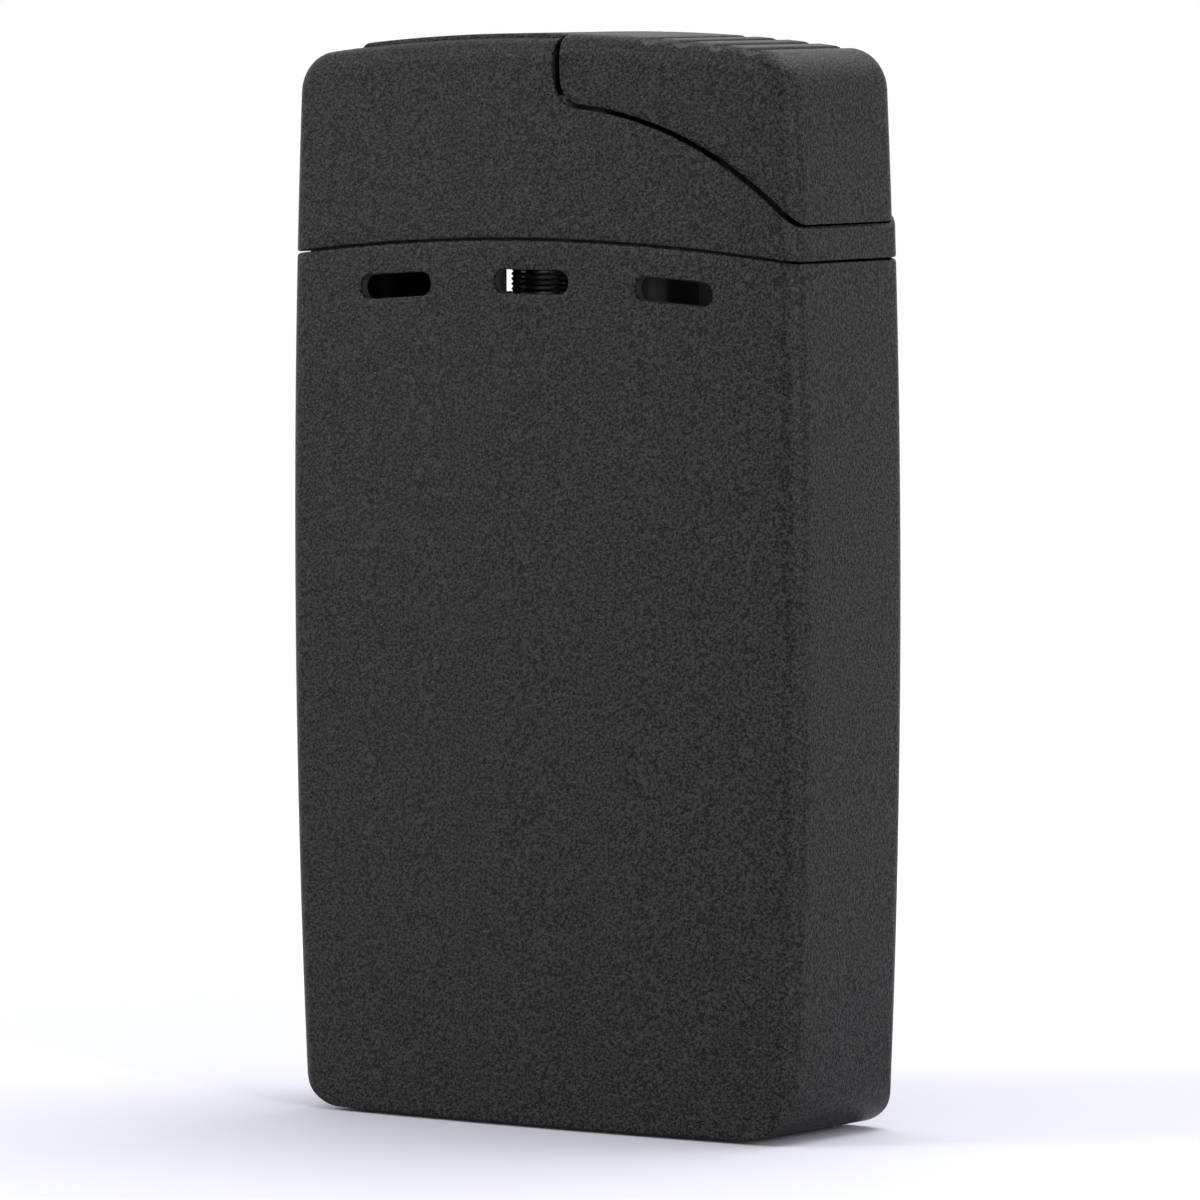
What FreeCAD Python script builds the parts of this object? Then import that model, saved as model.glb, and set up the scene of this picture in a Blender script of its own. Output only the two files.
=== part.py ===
import FreeCAD, Part
import math
import os

# Pocket torch lighter: a slim crowned metal body with a black wrinkle coat, an arched cap line,
# three vent slots per face, a pivoting thumb trigger at the top right and a flame lid at the top left.
# Millimetres and degrees. X runs across the broad face, Y through the thickness, Z up.
# Origin: centre of the base, on the table.

V = FreeCAD.Vector

# ---------------------------------------------------------------- outer form
WIDTH = 38.08
HEIGHT = 66.0
DEPTH = 13.03
MID_Z = HEIGHT / 2
SIDE_BOW = 0.934            # how far the side barrels out over half the height
FACE_CROWN = 0.787          # how far the broad face crowns out over half the width
TOP_ARC_R = 135.9
TOP_CORNER_R = 2.6
BASE_CORNER_R = 3.2
EDGE_R = 1.25               # rounding between the broad faces and the sides and top
LEAST_CORNER_R = 0.3        # outline corners of the inner surfaces
LEAST_EDGE_R = 0.2          # inner edges tighter than this stay sharp
CASE_FLOOR_Z = 0.25         # the case stands this far off the table, on its base plate
CAP_TOP_DROP = 0.25         # the cap's top lies this far below the lid and the trigger

SKIN_T = 0.25               # painted outer skins
LINER_T = 0.48
SHEET_GAP = 0.02            # between nested sheets
FIT = 0.05                  # general running clearance
NEST = 0.02                 # between parts fixed to each other
PIN_FIT = 0.04              # radial running clearance on pins
FAR = 90.0                  # reaches past the whole object
PAST = 1.0                  # how far a cutter runs past the face it opens
PRISM_Y = 20.0              # half length of the prisms along Y
PLAN_PAST = 5.0             # how far the plan outline runs past the sides
PLAN_Z0 = -10.0
OVERLAP = 0.3               # how far joined blocks run into each other

# ---------------------------------------------------------------- seams and slots
SEAM_TOP_Z = 53.68
SEAM_R = 150.7
SEAM_GAP = 0.11
SLOT_W = 5.55
SLOT_H = 1.45
SLOTS = ((-10.33, 50.7, -3.9), (0, 51.1, 0), (10.33, 50.7, 3.9))   # X, Z and lean, with the arch
LINER_RELIEF_X = 13.9       # the liner ends here beside the swinging trigger
LINER_RELIEF_Z = 50.3

# ---------------------------------------------------------------- trigger
PIVOT_X = 3.5
PIVOT_Z = 63.3
TRIGGER_ARC_X = 1.2
TRIGGER_ARC_Z = 36.9
TRIGGER_NOSE_R = 1.58       # rounded corner about the pivot
TRIGGER_GAP = 0.2           # along the arc
TRIGGER_LEFT_GAP = 0.32
TRIGGER_RECESS = 0.32       # broad faces sit this far inside the cap's faces
TRIGGER_WALL = 0.8
TRIGGER_ROOF = 1.3
TRIGGER_HOLLOW_X = 2.35
TRIGGER_PIN_R = 0.5
ZONE_PAST = 3.0             # how far the trigger's outline runs past the side
ZONE_TOP_Z = 75.0
LUG_Y0 = 2.6
LUG_Y1 = 3.6
LUG_R = 1.05
GRIP_X = (8.15, 10.45, 12.87, 15.26)
GRIP_R = 0.6
GRIP_DEPTH = 0.42
PAD_Z = 63.5                # centre of both pads' round ends
PLUNGER_PAD_X = 11.8
PLUNGER_PAD_R = 1.2
PLUNGER_PAD_Y = 2.0
PLUNGER_PAD_TOP_Z = 64.6
LINK_PAD_X = 8.2
LINK_PAD_R = 0.9
LINK_PAD_Y0 = 3.45
LINK_PAD_Y1 = 4.65
LINK_PAD_TOP_Z = 64.8
SWING_RELIEF_X = 14.0       # the cap is relieved for the trigger's lower corner beyond here
SWING_STEPS = (0.7, 1.4, 2.1, 2.8, 3.5, 4.2)

# ---------------------------------------------------------------- flame lid
LID_HINGE_X = -13.1
LID_HINGE_Z = 64.53
LID_BARREL_R = 0.82
LID_BARREL_Y = 4.85
LID_PIN_R = 0.3
LID_PIN_Y = 5.3
LID_RIGHT_X = 1.62
LID_T = 0.9
LID_EDGE_R = 0.2
LID_INSET = 1.15
LID_GAP = 0.09
LID_OPENING_Z = 62.1
CRANK_R = 2.3
CRANK_ANGLE = 208.0         # with the lid closed
CRANK_HUB_R = 0.7
CRANK_END_R = 0.5
CRANK_PIN_R = 0.35
CRANK_PIN_PAST = 0.1
CRANK_Y0 = 2.9
CRANK_Y1 = 3.6
RIB_X0 = -11.5
RIB_X1 = -0.4
RIB_Y = 0.4
RIB_Z0 = 64.4
RIB_Z1 = 65.3
RIB_COVER = 0.3

# ---------------------------------------------------------------- link plate and its spring
LINK_Y0 = 3.75
LINK_Y1 = 4.25
LINK_SIDE_GAP = 0.15        # room beside the plate in the barrel and the guard
RAIL_X0 = -13.4
RAIL_X1 = 10.0
RAIL_Z0 = 59.9
RAIL_Z1 = 61.2
LINK_HEAD_X0 = 7.4
LINK_LEG_X = 6.8
LINK_LEG_W = 1.0
LINK_LEG_Z0 = 48.75
LINK_TAB_X1 = -12.0
LINK_TAB_SIDE = 0.75
LINK_TAB_Z0 = 61.9
LINK_TAB_ROOF = 0.3
LINK_NECK_Z0 = 60.0
LINK_NECK_Z1 = 62.5
LINK_SLOT_X1 = -12.5
LINK_SLOT_SLACK = 0.33      # the crank pin dips below the plate's own travel in mid swing
LINK_SEAT_X0 = -7.7
LINK_SEAT_X1 = -6.1
LINK_SEAT_Y0 = 2.6
LINK_SEAT_Z1 = 60.35
LINK_SPRING_X = -6.9
LINK_SPRING_Y = 3.3
LINK_SPRING_R = 0.5
LINK_SPRING_WIRE_R = 0.13
LINK_SPRING_TURNS = 6

# ---------------------------------------------------------------- flame guard
GUARD_INSET = 0.95
GUARD_X1 = 1.3
SKIRT_OUTSET = 0.8
SKIRT_INSET = 1.25
SKIRT_X1 = 12.0
SKIRT_Z0 = 52.1
SKIRT_Z1 = 54.1
EAR_X0 = -14.1
EAR_X1 = -12.1
EAR_Y0 = 5.05
EAR_Z0 = 63.6
EAR_Z1 = 64.9
CRANK_ROOM_X0 = -16.3
CRANK_ROOM_Z0 = 61.0

# ---------------------------------------------------------------- chassis
DECK_INSET = 0.85
DECK_Z0 = 45.9
DECK_Z1 = 46.7
DECK_CUT_Z = 40.0           # cutters through the deck start here
CHEEK_Y0 = 4.4
CHEEK_Y1 = 5.0
CHEEK_X0 = -9.0
CHEEK_X1 = 5.2
CHEEK_TOP_Z = 56.0
CHEEK_ROOT_Z = 46.5
CHEEK_WINDOW_Z0 = 49.5
CHEEK_WINDOW_Z1 = 52.4
CHEEK_WINDOWS_X = ((-FAR, -6.2), (-3.3, 2.2))
ARM_HALF = 1.0
BRIDGE_Z0 = 53.6
BRIDGE_Z1 = 55.4
BRIDGE_X0 = -7.8
BRIDGE_X1 = 2.0
LEVER_LUG_R = 0.9
LEVER_LUG_Y0 = 2.6
LEVER_LUG_Y1 = 3.2
BULKHEAD_X0 = 7.5
BULKHEAD_X1 = 8.1
BULKHEAD_Y = 4.7
BULKHEAD_Z1 = 53.4
PIEZO_HOLE_INSET = 0.5
PIEZO_HOLE_Y = 2.6
LEVER_HOLE_X0 = 0.6
LEVER_HOLE_Y = 1.0
LINK_HOLE_X0 = 5.9
LINK_HOLE_X1 = 7.4
LINK_HOLE_Y1 = 4.6
CHASSIS_SCREWS = ((-12.0, -3.0), (-12.0, 3.0), (4.3, -2.9))
CHASSIS_SCREW_R = 0.6
CHASSIS_SCREW_Z0 = 45.0
CHASSIS_HEAD_R = 1.1
CHASSIS_HEAD_T = 0.6
SLOT_HALF_W = 0.15
SLOT_FLOOR = 0.35

# ---------------------------------------------------------------- burner and valve
BURNER_X = -3.1
BURNER_R = 2.5
BURNER_Z0 = 49.1
BURNER_Z1 = 60.5
BURNER_BORE_R = 1.8
BURNER_BORE_Z0 = 53.0
AIR_HOLE_R = 0.5
AIR_HOLE_Z = 57.0
AIR_HOLES = 4
HEAD_Z1 = 62.2
HEAD_PLUG_T = 1.0
HEAD_PLUG_PAST = 0.5
JET_R = 0.45
SIDE_JET_R = 0.25
SIDE_JET_RING_R = 1.3
SIDE_JETS = 8
HEAD_CUP_T = 0.5
HEAD_CUP_R0 = 1.6
HEAD_CUP_R1 = 2.2
HEAD_CUP_PAST = 0.1
THREAD_PITCH = 0.3
THREAD_DEPTH = 0.12
THREAD_Z1 = 53.6
NUT_Z0 = 52.5
NUT_R = 3.3                 # over the corners
VALVE_Z0 = 34.0
VALVE_SEAT_Z = 38.3
VALVE_CAVITY_Z1 = 45.2
VALVE_CAVITY_R = 1.7
VALVE_R = 2.6
VALVE_INLET_R = 0.35
STEM_R = 1.0
STEM_Z0 = 38.9
STEM_TOP_Z = 52.0
STEM_COLLAR_R = 1.6
STEM_COLLAR_Z1 = 39.4
STEM_BORE_R = 0.35
STEM_BORE_Z0 = 41.0
STEM_BAR_X = 0.8
STEM_BAR_Y = 2.4
STEM_BAR_Z0 = 48.28
STEM_BAR_Z1 = 48.68
SEAL_R = 1.5
SEAL_Z1 = 38.88
VALVE_SPRING_R = 1.35
VALVE_SPRING_WIRE_R = 0.16
VALVE_SPRING_TURNS = 6
LEVER_X = -0.9
LEVER_Z = 47.9
LEVER_ARM = 2.2
LEVER_PIN_R = 0.4
LEVER_PIN_Y = 3.3
LEVER_HUB_R = 0.8
LEVER_HUB_Y = 2.5
FORK_X0 = -5.0
FORK_Y0 = 1.65
FORK_Y1 = 2.25
FORK_Z0 = 47.4
FORK_NUB_R = 0.33
LEVER_ARM_X1 = 7.3
LEVER_ARM_Y = 0.6
LEVER_ARM_Z0 = 47.6
LEVER_ARM_Z1 = 48.2
LEVER_TAB_X0 = 6.3
LEVER_TAB_Y1 = 4.35
GAS_TUBE_R = 0.6
GAS_TUBE_BORE_R = 0.3
GAS_TUBE_Z0 = 10.5
GAS_TUBE_Z1 = 36.0

# ---------------------------------------------------------------- igniter
PIEZO_X0 = 8.8
PIEZO_X1 = 14.8
PIEZO_X = (PIEZO_X0 + PIEZO_X1) / 2
PIEZO_Y = 3.0
PIEZO_Z0 = 24.55
PIEZO_Z1 = 45.85
PIEZO_WALL = 0.6
PIEZO_FLOOR_T = 1.0
PIEZO_SHELF_Z = 33.0
PIEZO_BORE_R = 1.6
PLUNGER_Z0 = 40.0
PLUNGER_SHOULDER_Z = 52.0
PLUNGER_Y = 2.35
PLUNGER_STEM_X = 1.2
PLUNGER_STEM_Y = 1.8
PLUNGER_BORE_R = 1.3
PLUNGER_BORE_Z1 = 50.5
PIEZO_SPRING_R = 1.95
PIEZO_SPRING_WIRE_R = 0.22
PIEZO_SPRING_TURNS = 5
HAMMER_R = 1.5
HAMMER_TIP_R = 1.3
HAMMER_Z0 = 30.42
HAMMER_Z1 = 31.4
HAMMER_TIP_Z = 33.4
CRYSTAL_Z1 = 30.4
ELECTRODE_X = 0.7
ELECTRODE_R = 0.3
ELECTRODE_Z0 = 52.42
ELECTRODE_TIP_X = -1.9
ELECTRODE_TIP_Z = 62.8
INSULATOR_R = 0.8
INSULATOR_SLIM_R = 0.7
INSULATOR_Z0 = 52.9
INSULATOR_Z1 = 60.6
INSULATOR_SEAT_Z0 = 53.2
INSULATOR_SEAT_Z1 = 55.9
LEAD_R = 0.35
LEAD_X = 9.6
LEAD_Y = -3.7
LEAD_Z = 49.5
LEAD_Z0 = 43.0
LEAD_Z1 = 52.4
LEAD_GROOVE = 0.6
LEAD_ROOM = 0.3
LEAD_POCKET_Z = 42.0

# ---------------------------------------------------------------- fuel tank
TANK_INSET = 0.8
TANK_WALL = 1.0
TANK_Z0 = 3.02
TANK_Z1 = 45.85
POCKET_X0 = 8.6
POCKET_X1 = 15.0
POCKET_Y = 3.2
POCKET_Z = 24.5
LINK_WELL_X1 = 8.2
LINK_WELL_Z = 45.2
SCREW_WELL_Z = 44.98
COVER_Z0 = 1.52
COVER_Z1 = 3.0
BOSS_R = 1.3
BOSS_Z1 = 4.8
BOSS_ROOT = 0.2
BOSS_BORE_Z1 = 4.3

# ---------------------------------------------------------------- filler and flame height
PORT_Z0 = 0.3               # lower faces of the filler and the adjuster
PORT_FLANGE_Z1 = 1.45
PORT_BODY_Z0 = 1.0
FILL_X = 6.0
FILL_R = 2.1
FILL_FLANGE_R = 2.25
FILL_Z1 = 9.0
FILL_MOUTH_R = 1.3
FILL_MOUTH_Z1 = 1.95
FILL_NECK_R = 0.75
FILL_NECK_Z1 = 4.0
FILL_ROOM_R = 1.4
FILL_ROOM_Z0 = 3.2
FILL_ROOM_Z1 = 8.2
FILL_OUTLET_R = 0.4
FILL_STEM_R = 0.6
FILL_STEM_Z0 = 2.0
FILL_STEM_Z1 = 5.2
FILL_COLLAR_R = 1.25
FILL_COLLAR_Z0 = 3.8
FILL_COLLAR_Z1 = 4.3
FILL_STEM_SLOT = 0.12
FILL_STEM_SLOT_Z1 = 2.4
FILL_SEAL_Z1 = 3.78
FILL_SPRING_R = 1.0
FILL_SPRING_WIRE_R = 0.16
FILL_SPRING_TURNS = 4
REGULATOR_R = 2.5
REGULATOR_FLANGE_R = 2.65
REGULATOR_Z1 = 12.0
REGULATOR_SPINDLE_Z1 = 8.6
REGULATOR_GROOVE_R = 1.4
REGULATOR_GROOVE_Z0 = 3.8
REGULATOR_GROOVE_Z1 = 4.4
REGULATOR_PORT_R = 0.3
REGULATOR_PORT_Z = 8.0
REGULATOR_FEED_Z0 = 8.5
REGULATOR_FEED_Z1 = 11.0
ADJUSTER_R = 2.0
ADJUSTER_Z0 = 0.4
ADJUSTER_Z1 = 1.35
SPINDLE_R = 0.9
SPINDLE_Z1 = 7.6
ADJUSTER_SLOT_X = 1.7
ADJUSTER_SLOT_Y = 0.3
ADJUSTER_SLOT_Z1 = 0.9
KNURLS = 12
KNURL_R = 0.25
KNURL_RING_R = 2.1
KNURL_Z1 = 1.0

# ---------------------------------------------------------------- base
BASE_T = 1.5
BASE_HALF_X = 14.6
BASE_INSET = 0.82
BASE_PLATE_CORNER_R = 1.5
BASE_SCREW_X = 12.3
BASE_SCREW_R = 0.5
BASE_SCREW_Z1 = 4.2
BASE_HEAD_R = 1.1
BASE_HEAD_Z0 = 0.15
BASE_HEAD_Z1 = 0.8
BASE_SHANK_Z0 = 0.7
CROSS_HALF_L = 0.75
CROSS_HALF_W = 0.16
CROSS_Z1 = 0.5


def bow_radius(half_length, bow):
    """Radius of an arc that bows out by this much over this half length."""
    return (half_length ** 2 + bow ** 2) / (2 * bow)


SIDE_R = bow_radius(MID_Z, SIDE_BOW)
FACE_R = bow_radius(WIDTH / 2, FACE_CROWN)
TRIGGER_ARC_R = math.hypot(PIVOT_X - TRIGGER_ARC_X, PIVOT_Z - TRIGGER_ARC_Z) - TRIGGER_NOSE_R


# ---------------------------------------------------------------- building helpers
def box(x0, x1, y0, y1, z0, z1):
    return Part.makeBox(x1 - x0, y1 - y0, z1 - z0, V(x0, y0, z0))


def rod_z(x, y, z0, z1, r):
    return Part.makeCylinder(r, z1 - z0, V(x, y, z0), V(0, 0, 1))


def rod_y(x, z, y0, y1, r):
    return Part.makeCylinder(r, y1 - y0, V(x, y0, z), V(0, 1, 0))


def cone_z(x, y, z0, z1, r0, r1):
    return Part.makeCone(r0, r1, z1 - z0, V(x, y, z0), V(0, 0, 1))


def ring_z(x, y, z0, z1, r_in, r_out):
    return rod_z(x, y, z0, z1, r_out).cut(rod_z(x, y, z0, z1, r_in))


def between(z0, z1):
    return box(-FAR, FAR, -FAR, FAR, z0, z1)


def both_sides(x0, x1, y0, y1, z0, z1):
    """The same block in front of and behind the middle plane."""
    return box(x0, x1, -y1, -y0, z0, z1).fuse(box(x0, x1, y0, y1, z0, z1))


def join(shapes):
    first = shapes[0]
    return first.fuse(shapes[1:]).removeSplitter()


def arc_point(x, z, r, degrees):
    a = math.radians(degrees)
    return V(x + r * math.cos(a), 0, z + r * math.sin(a))


def arc_edge(x, z, r, start, end):
    """Arc in the XZ plane between two angles."""
    middle = arc_point(x, z, r, (start + end) / 2)
    return Part.Arc(arc_point(x, z, r, start), middle, arc_point(x, z, r, end)).toShape()


def prism_y(edges):
    """A closed outline in the XZ plane, extruded to both sides."""
    face = Part.Face(Part.Wire(edges))
    face.translate(V(0, -PRISM_Y, 0))
    return face.extrude(V(0, 2 * PRISM_Y, 0))


def coil(x, y, z0, z1, mean_r, wire_r, turns):
    """Helical compression spring whose ends lie on the two heights."""
    rise = z1 - z0 - 2 * wire_r
    path = Part.makeHelix(rise / turns, rise, mean_r)
    path.translate(V(x, y, z0 + wire_r))
    start = path.Edges[0].Vertexes[0].Point
    section = Part.Wire(Part.makeCircle(wire_r, start, V(0, 1, 0)))
    return Part.Wire(path.Edges).makePipeShell([section], True, True)


def wire_run(points, r):
    """Round wire through a list of points, with ball corners."""
    pieces = []
    for a, b in zip(points, points[1:]):
        pieces.append(Part.makeCylinder(r, (b - a).Length, a, b - a))
    for p in points[1:-1]:
        pieces.append(Part.makeSphere(r, p))
    return join(pieces)


def runs_along(edge, axis):
    return abs(edge.tangentAt(edge.FirstParameter).dot(axis)) > math.cos(math.radians(8))


# ---------------------------------------------------------------- the crowned form
def outline_prism(side, top, top_corner):
    """Broad-face outline, set in from the sides and the top, as a prism along Y."""
    r = SIDE_R - side
    centre = WIDTH / 2 - SIDE_R
    low = math.degrees(math.asin((-BASE_CORNER_R - MID_Z) / r))
    high = math.degrees(math.asin((HEIGHT + BASE_CORNER_R - MID_Z) / r))
    right = arc_edge(centre, MID_Z, r, low, high)
    left = arc_edge(-centre, MID_Z, r, 180 - high, 180 - low)
    lid = Part.makeLine(right.Vertexes[1].Point, left.Vertexes[0].Point)
    base = Part.makeLine(left.Vertexes[1].Point, right.Vertexes[0].Point)
    block = prism_y([right, lid, left, base])
    block = block.common(rod_y(0, HEIGHT - TOP_ARC_R, -FAR, FAR, TOP_ARC_R - top))
    corners = [e for e in block.Edges if runs_along(e, V(0, 1, 0)) and e.CenterOfMass.z > MID_Z]
    return block.makeFillet(top_corner, corners)


def base_cutters(side, floor):
    """What lies outside the rounded bottom corners and under the floor."""
    r = max(BASE_CORNER_R - side, LEAST_CORNER_R)
    z = floor + r
    x = WIDTH / 2 - SIDE_R + math.sqrt((SIDE_R - side - r) ** 2 - (z - MID_Z) ** 2)
    cutters = [box(-FAR, FAR, -FAR, FAR, -FAR, floor)]
    for sign in (-1, 1):
        x0, x1 = sorted((sign * x, sign * (x + 2 * BASE_CORNER_R)))
        cutters.append(box(x0, x1, -DEPTH, DEPTH, floor - r, z).cut(rod_y(sign * x, z, -FAR, FAR, r)))
    return cutters


def plan_prism(inset):
    """Space between the two crowned broad faces, set in by the given amount."""
    r = FACE_R - inset
    centre = FACE_R - DEPTH / 2
    x = WIDTH / 2 + PLAN_PAST
    y = math.sqrt(r * r - x * x) - centre
    z = PLAN_Z0
    front = Part.Arc(V(-x, -y, z), V(0, centre - r, z), V(x, -y, z)).toShape()
    back = Part.Arc(V(x, y, z), V(0, r - centre, z), V(-x, y, z)).toShape()
    right = Part.makeLine(V(x, -y, z), V(x, y, z))
    left = Part.makeLine(V(-x, y, z), V(-x, -y, z))
    return Part.Face(Part.Wire([front, right, back, left])).extrude(V(0, 0, FAR))


def form(side, face, top):
    """The whole rounded body of the lighter, set in from its sides, broad faces and top."""
    block = outline_prism(side, top, max(TOP_CORNER_R - side, LEAST_CORNER_R)).common(plan_prism(face))
    edge = EDGE_R - max(side, min(face, top))
    if edge > LEAST_EDGE_R:
        rim = [e for e in block.Edges if abs(e.CenterOfMass.y) > EDGE_R and e.CenterOfMass.z > 0]
        block = block.makeFillet(edge, rim)
    return block.cut(base_cutters(side, CASE_FLOOR_Z + side))


def even_form(inset):
    return form(inset, inset, inset)


def seam_disc(gap):
    """Everything under the arched cap line, grown by a gap."""
    return rod_y(0, SEAM_TOP_Z - SEAM_R, -FAR, FAR, SEAM_R + gap)


def vent_slots():
    """Three rounded slots that run right through, front to back."""
    cutters = []
    for x, z, lean in SLOTS:
        r = SLOT_H / 2
        half = SLOT_W / 2 - r
        slot = join([box(x - half, x + half, -FAR, FAR, z - r, z + r),
                     rod_y(x - half, z, -FAR, FAR, r),
                     rod_y(x + half, z, -FAR, FAR, r)])
        slot.rotate(V(x, 0, z), V(0, 1, 0), lean)
        cutters.append(slot)
    return Part.makeCompound(cutters)


def trigger_zone(gap, left_gap):
    """Outline of the trigger seen from the front, grown by the given gaps."""
    rise = math.degrees(math.atan2(PIVOT_Z - TRIGGER_ARC_Z, PIVOT_X - TRIGGER_ARC_X))
    arc_r = TRIGGER_ARC_R - gap
    nose_r = TRIGGER_NOSE_R + gap
    reach = math.degrees(math.acos((WIDTH / 2 + ZONE_PAST - TRIGGER_ARC_X) / arc_r))
    nose = arc_edge(PIVOT_X, PIVOT_Z, nose_r, 180, 180 + rise)
    sweep = arc_edge(TRIGGER_ARC_X, TRIGGER_ARC_Z, arc_r, rise, reach)
    start = nose.Vertexes[0].Point
    end = sweep.Vertexes[1].Point
    edges = [nose, sweep,
             Part.makeLine(end, V(end.x, 0, ZONE_TOP_Z)),
             Part.makeLine(V(end.x, 0, ZONE_TOP_Z), V(start.x, 0, ZONE_TOP_Z)),
             Part.makeLine(V(start.x, 0, ZONE_TOP_Z), start)]
    zone = prism_y(edges)
    extra = left_gap - gap
    if extra > 0:
        zone = zone.fuse(box(start.x - extra, start.x + gap, -FAR, FAR, PIVOT_Z, ZONE_TOP_Z))
    return zone


# ---------------------------------------------------------------- case and cap
def base_slab(grow, z0, z1):
    """The base plate's rounded plan, grown all round and extruded between two heights."""
    half = BASE_HALF_X + grow
    slab = box(-half, half, -DEPTH, DEPTH, z0, z1).common(plan_prism(BASE_INSET - grow))
    posts = [e for e in slab.Edges if runs_along(e, V(0, 0, 1))]
    return slab.makeFillet(BASE_PLATE_CORNER_R + grow, posts)


def base_opening():
    return base_slab(NEST, -PAST, COVER_Z0)


def case_shell():
    shell = even_form(0).cut(even_form(SKIN_T))
    shell = shell.common(seam_disc(-SEAM_GAP / 2))
    return shell.cut(vent_slots()).cut(base_opening())


def case_liner():
    outer = SKIN_T + SHEET_GAP
    liner = even_form(outer).cut(even_form(outer + LINER_T))
    liner = liner.common(seam_disc(-SEAM_GAP / 2 - NEST))
    relief = box(LINER_RELIEF_X, FAR, -FAR, FAR, LINER_RELIEF_Z, FAR)
    return liner.cut(vent_slots()).cut(base_opening()).cut(relief)


def lid_opening():
    opening = box(LID_HINGE_X - LID_BARREL_R - LID_GAP, PIVOT_X, -FAR, FAR, LID_OPENING_Z, FAR)
    return opening.common(plan_prism(LID_INSET - LID_GAP))


def swing_cutters():
    """The trigger's own bulk, a little oversize, at the first steps of its swing."""
    bulk = form(-FIT, TRIGGER_RECESS - FIT, 0).common(trigger_zone(FIT, FIT))
    bulk = bulk.common(box(SWING_RELIEF_X, FAR, -FAR, FAR, SEAM_TOP_Z, FAR))
    cutters = []
    for degrees in SWING_STEPS:
        cutter = bulk.copy()
        cutter.rotate(V(PIVOT_X, 0, PIVOT_Z), V(0, 1, 0), degrees)
        cutters.append(cutter)
    return cutters


def cap_shell():
    shell = form(0, 0, CAP_TOP_DROP).cut(form(SKIN_T, SKIN_T, CAP_TOP_DROP + SKIN_T))
    shell = shell.cut(seam_disc(SEAM_GAP / 2))
    shell = shell.cut(trigger_zone(TRIGGER_GAP, TRIGGER_LEFT_GAP)).cut(lid_opening())
    for cutter in swing_cutters():
        shell = shell.cut(cutter)
    return shell


def flame_guard():
    outer = SKIN_T + SHEET_GAP
    outside = form(outer, outer, CAP_TOP_DROP + outer)
    wall = outside.cut(form(GUARD_INSET, GUARD_INSET, CAP_TOP_DROP + GUARD_INSET))
    wall = wall.cut(seam_disc(SEAM_GAP / 2)).common(box(-FAR, GUARD_X1, -FAR, FAR, 0, FAR))
    skirt = even_form(SKIRT_OUTSET).cut(even_form(SKIRT_INSET))
    skirt = skirt.common(box(-FAR, SKIRT_X1, -FAR, FAR, SKIRT_Z0, SKIRT_Z1))
    ears = both_sides(EAR_X0, EAR_X1, EAR_Y0, DEPTH / 2, EAR_Z0, EAR_Z1).common(outside)
    guard = join([wall, skirt, ears]).cut(lid_opening())
    guard = guard.cut(box(CRANK_ROOM_X0, EAR_X1, CRANK_Y0 - LINK_SIDE_GAP, LINK_Y1 + LINK_SIDE_GAP,
                          CRANK_ROOM_Z0, FAR))
    return guard.cut(rod_y(LID_HINGE_X, LID_HINGE_Z, -FAR, FAR, LID_PIN_R + NEST))


# ---------------------------------------------------------------- trigger
def pad(x, r, y0, y1, top):
    """A block under the trigger's roof that ends in a round foot."""
    return [rod_y(x, PAD_Z, y0, y1, r), box(x - r, x + r, y0, y1, PAD_Z, top)]


def trigger():
    body = form(0, TRIGGER_RECESS, 0).common(trigger_zone(0, 0))
    hollow = form(TRIGGER_WALL, TRIGGER_RECESS + TRIGGER_WALL, TRIGGER_ROOF)
    body = body.cut(hollow.common(box(TRIGGER_HOLLOW_X, FAR, -FAR, FAR, 0, FAR)))
    lugs = []
    for y0, y1 in ((-LUG_Y1, -LUG_Y0), (LUG_Y0, LUG_Y1)):
        lugs.append(rod_y(PIVOT_X, PIVOT_Z, y0, y1, LUG_R))
        lugs.append(box(PIVOT_X - LUG_R, PIVOT_X + LUG_R, y0, y1, PIVOT_Z, HEIGHT - TRIGGER_ROOF + OVERLAP))
    pads = pad(PLUNGER_PAD_X, PLUNGER_PAD_R, -PLUNGER_PAD_Y, PLUNGER_PAD_Y, PLUNGER_PAD_TOP_Z)
    pads += pad(LINK_PAD_X, LINK_PAD_R, LINK_PAD_Y0, LINK_PAD_Y1, LINK_PAD_TOP_Z)
    body = join([body] + lugs + pads)
    for x in GRIP_X:
        top = HEIGHT - x * x / (2 * TOP_ARC_R)
        body = body.cut(rod_y(x, top + GRIP_R - GRIP_DEPTH, -FAR, FAR, GRIP_R))
    return body.cut(rod_y(PIVOT_X, PIVOT_Z, -LUG_Y1 - PAST, LUG_Y1 + PAST, TRIGGER_PIN_R + PIN_FIT))


def trigger_pin():
    return rod_y(PIVOT_X, PIVOT_Z, -CHEEK_Y1, CHEEK_Y1, TRIGGER_PIN_R)


# ---------------------------------------------------------------- flame lid and link
def crank_pin_point():
    return arc_point(LID_HINGE_X, LID_HINGE_Z, CRANK_R, CRANK_ANGLE)


def under_top(depth):
    """Everything at least this far under the arched top."""
    return rod_y(0, HEIGHT - TOP_ARC_R, -FAR, FAR, TOP_ARC_R - depth)


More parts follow.
